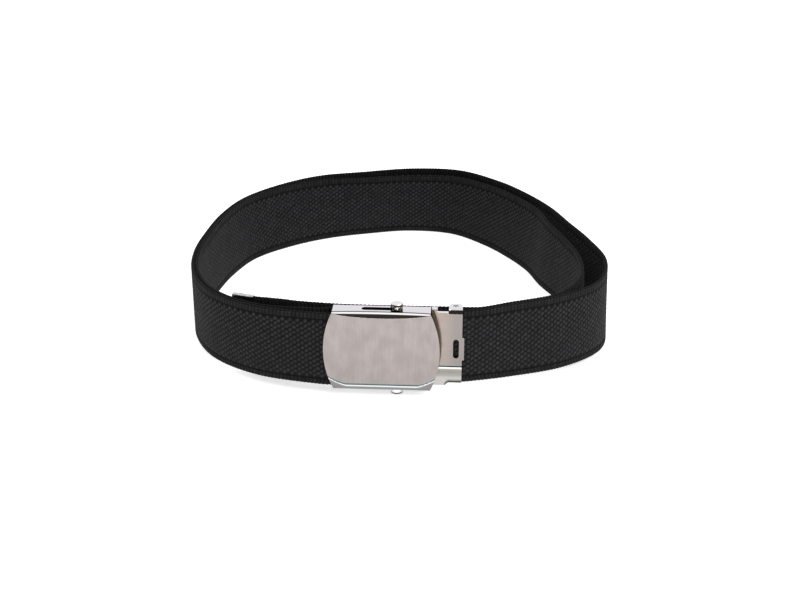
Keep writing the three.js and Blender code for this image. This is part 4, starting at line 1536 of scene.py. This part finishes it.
def lay_floor(scene, settings):
    """A pale paper floor that gives off a little light, as a lit sweep does."""
    half = settings.floor_size / 2
    corners = [(-half, -half, 0), (half, -half, 0), (half, half, 0), (-half, half, 0)]
    mesh = bpy.data.meshes.new("floor")
    mesh.from_pydata(corners, [], [(0, 1, 2, 3)])
    floor = bpy.data.objects.new("floor", mesh)
    scene.collection.objects.link(floor)
    material, tree, shader = new_material("floor_paper")
    grain = noise_in(tree, 900.0)
    pale = tuple(settings.floor)
    colour = blended(tree, ranged(tree, grain, 0.0, 1.0), scaled(pale, 0.985), pale)
    tree.links.new(colour, shader.inputs["Base Color"])
    shader.inputs["Roughness"].default_value = 0.9
    shader.inputs["Specular IOR Level"].default_value = 0.1
    shader.inputs["Emission Color"].default_value = (*WHITE, 1.0)
    shader.inputs["Emission Strength"].default_value = settings.floor_glow
    mesh.materials.append(material)


def set_surround(scene, settings):
    """A white surround with a dark band low in front, which the polished folds reflect."""
    world = scene.world or bpy.data.worlds.new("surround")
    scene.world = world
    world.use_nodes = True
    tree = world.node_tree
    tree.nodes.clear()
    output = tree.nodes.new("ShaderNodeOutputWorld")
    background = tree.nodes.new("ShaderNodeBackground")
    place = tree.nodes.new("ShaderNodeTexCoord")
    parts = tree.nodes.new("ShaderNodeSeparateXYZ")
    tree.links.new(place.outputs["Generated"], parts.inputs["Vector"])
    front = ranged(tree, parts.outputs["Y"], 1.0, 0.0, -0.35, 0.15)
    low = ranged(tree, parts.outputs["Z"], 1.0, 0.0, 0.6, 0.8)
    both = tree.nodes.new("ShaderNodeMath")
    both.operation = "MULTIPLY"
    tree.links.new(front, both.inputs[0])
    tree.links.new(low, both.inputs[1])
    colour = blended(tree, both.outputs["Value"], WHITE, DARK_BAND)
    tree.links.new(colour, background.inputs["Color"])
    background.inputs["Strength"].default_value = settings.sky_strength
    tree.links.new(background.outputs["Background"], output.inputs["Surface"])


def place_camera(scene, settings):
    """The camera at the photograph's viewing angle."""
    lens = bpy.data.cameras.new("camera")
    lens.lens = settings.focal_length
    lens.sensor_width = SENSOR_WIDTH
    lens.clip_start = 0.01
    lens.clip_end = 50.0
    camera = bpy.data.objects.new("camera", lens)
    camera.location = tuple(to_frame([CAMERA_PLACE])[0])
    camera.rotation_euler = (math.radians(90) - settings.camera_pitch, 0, settings.camera_yaw)
    scene.collection.objects.link(camera)
    scene.camera = camera


class BELT_OT_stage(bpy.types.Operator):
    """Lay the floor, set the light and place the camera."""

    bl_idname = "belt.set_stage"
    bl_label = "Set Stage"

    def execute(self, context):
        scene = context.scene
        settings = scene.belt_stage
        lay_floor(scene, settings)
        set_surround(scene, settings)
        soft_light("overhead", settings.key_power, OVERHEAD_PLACE, OVERHEAD_SIZE)
        fill = soft_light("front_fill", settings.fill_power, FILL_PLACE, FILL_SIZE)
        fill.visible_glossy = False
        scene.view_settings.view_transform = "Standard"
        place_camera(scene, settings)
        return {"FINISHED"}


OPERATORS = (BELT_OT_web, BELT_OT_face, BELT_OT_clamp, BELT_OT_roller, BELT_OT_tip, BELT_OT_stage)


class BELT_PT_panel(bpy.types.Panel):
    """Settings and steps of the belt, in the order that they run."""

    bl_idname = "BELT_PT_panel"
    bl_label = "Web Belt"
    bl_space_type = "VIEW_3D"
    bl_region_type = "UI"
    bl_category = "Web Belt"

    def draw(self, context):
        layout = self.layout
        for group in (context.scene.belt_web, context.scene.belt_buckle, context.scene.belt_stage):
            column = layout.column(align=True)
            for name in group.__annotations__:
                column.prop(group, name)
        for operator in OPERATORS:
            layout.operator(operator.bl_idname)


CLASSES = (WebSettings, BuckleSettings, StageSettings, *OPERATORS, BELT_PT_panel)


def register():
    """Adds the classes and the three groups of settings."""
    for cls in CLASSES:
        bpy.utils.register_class(cls)
    bpy.types.Scene.belt_web = PointerProperty(type=WebSettings)
    bpy.types.Scene.belt_buckle = PointerProperty(type=BuckleSettings)
    bpy.types.Scene.belt_stage = PointerProperty(type=StageSettings)


def unregister():
    """Takes the settings and the classes away again."""
    del bpy.types.Scene.belt_stage
    del bpy.types.Scene.belt_buckle
    del bpy.types.Scene.belt_web
    for cls in reversed(CLASSES):
        bpy.utils.unregister_class(cls)


def main():
    """Builds the belt and its stage."""
    register()
    bpy.ops.belt.weave_web()
    bpy.ops.belt.fold_face()
    bpy.ops.belt.fold_clamp()
    bpy.ops.belt.turn_roller()
    bpy.ops.belt.press_tip()
    bpy.ops.belt.set_stage()


if __name__ == "__main__":
    main()
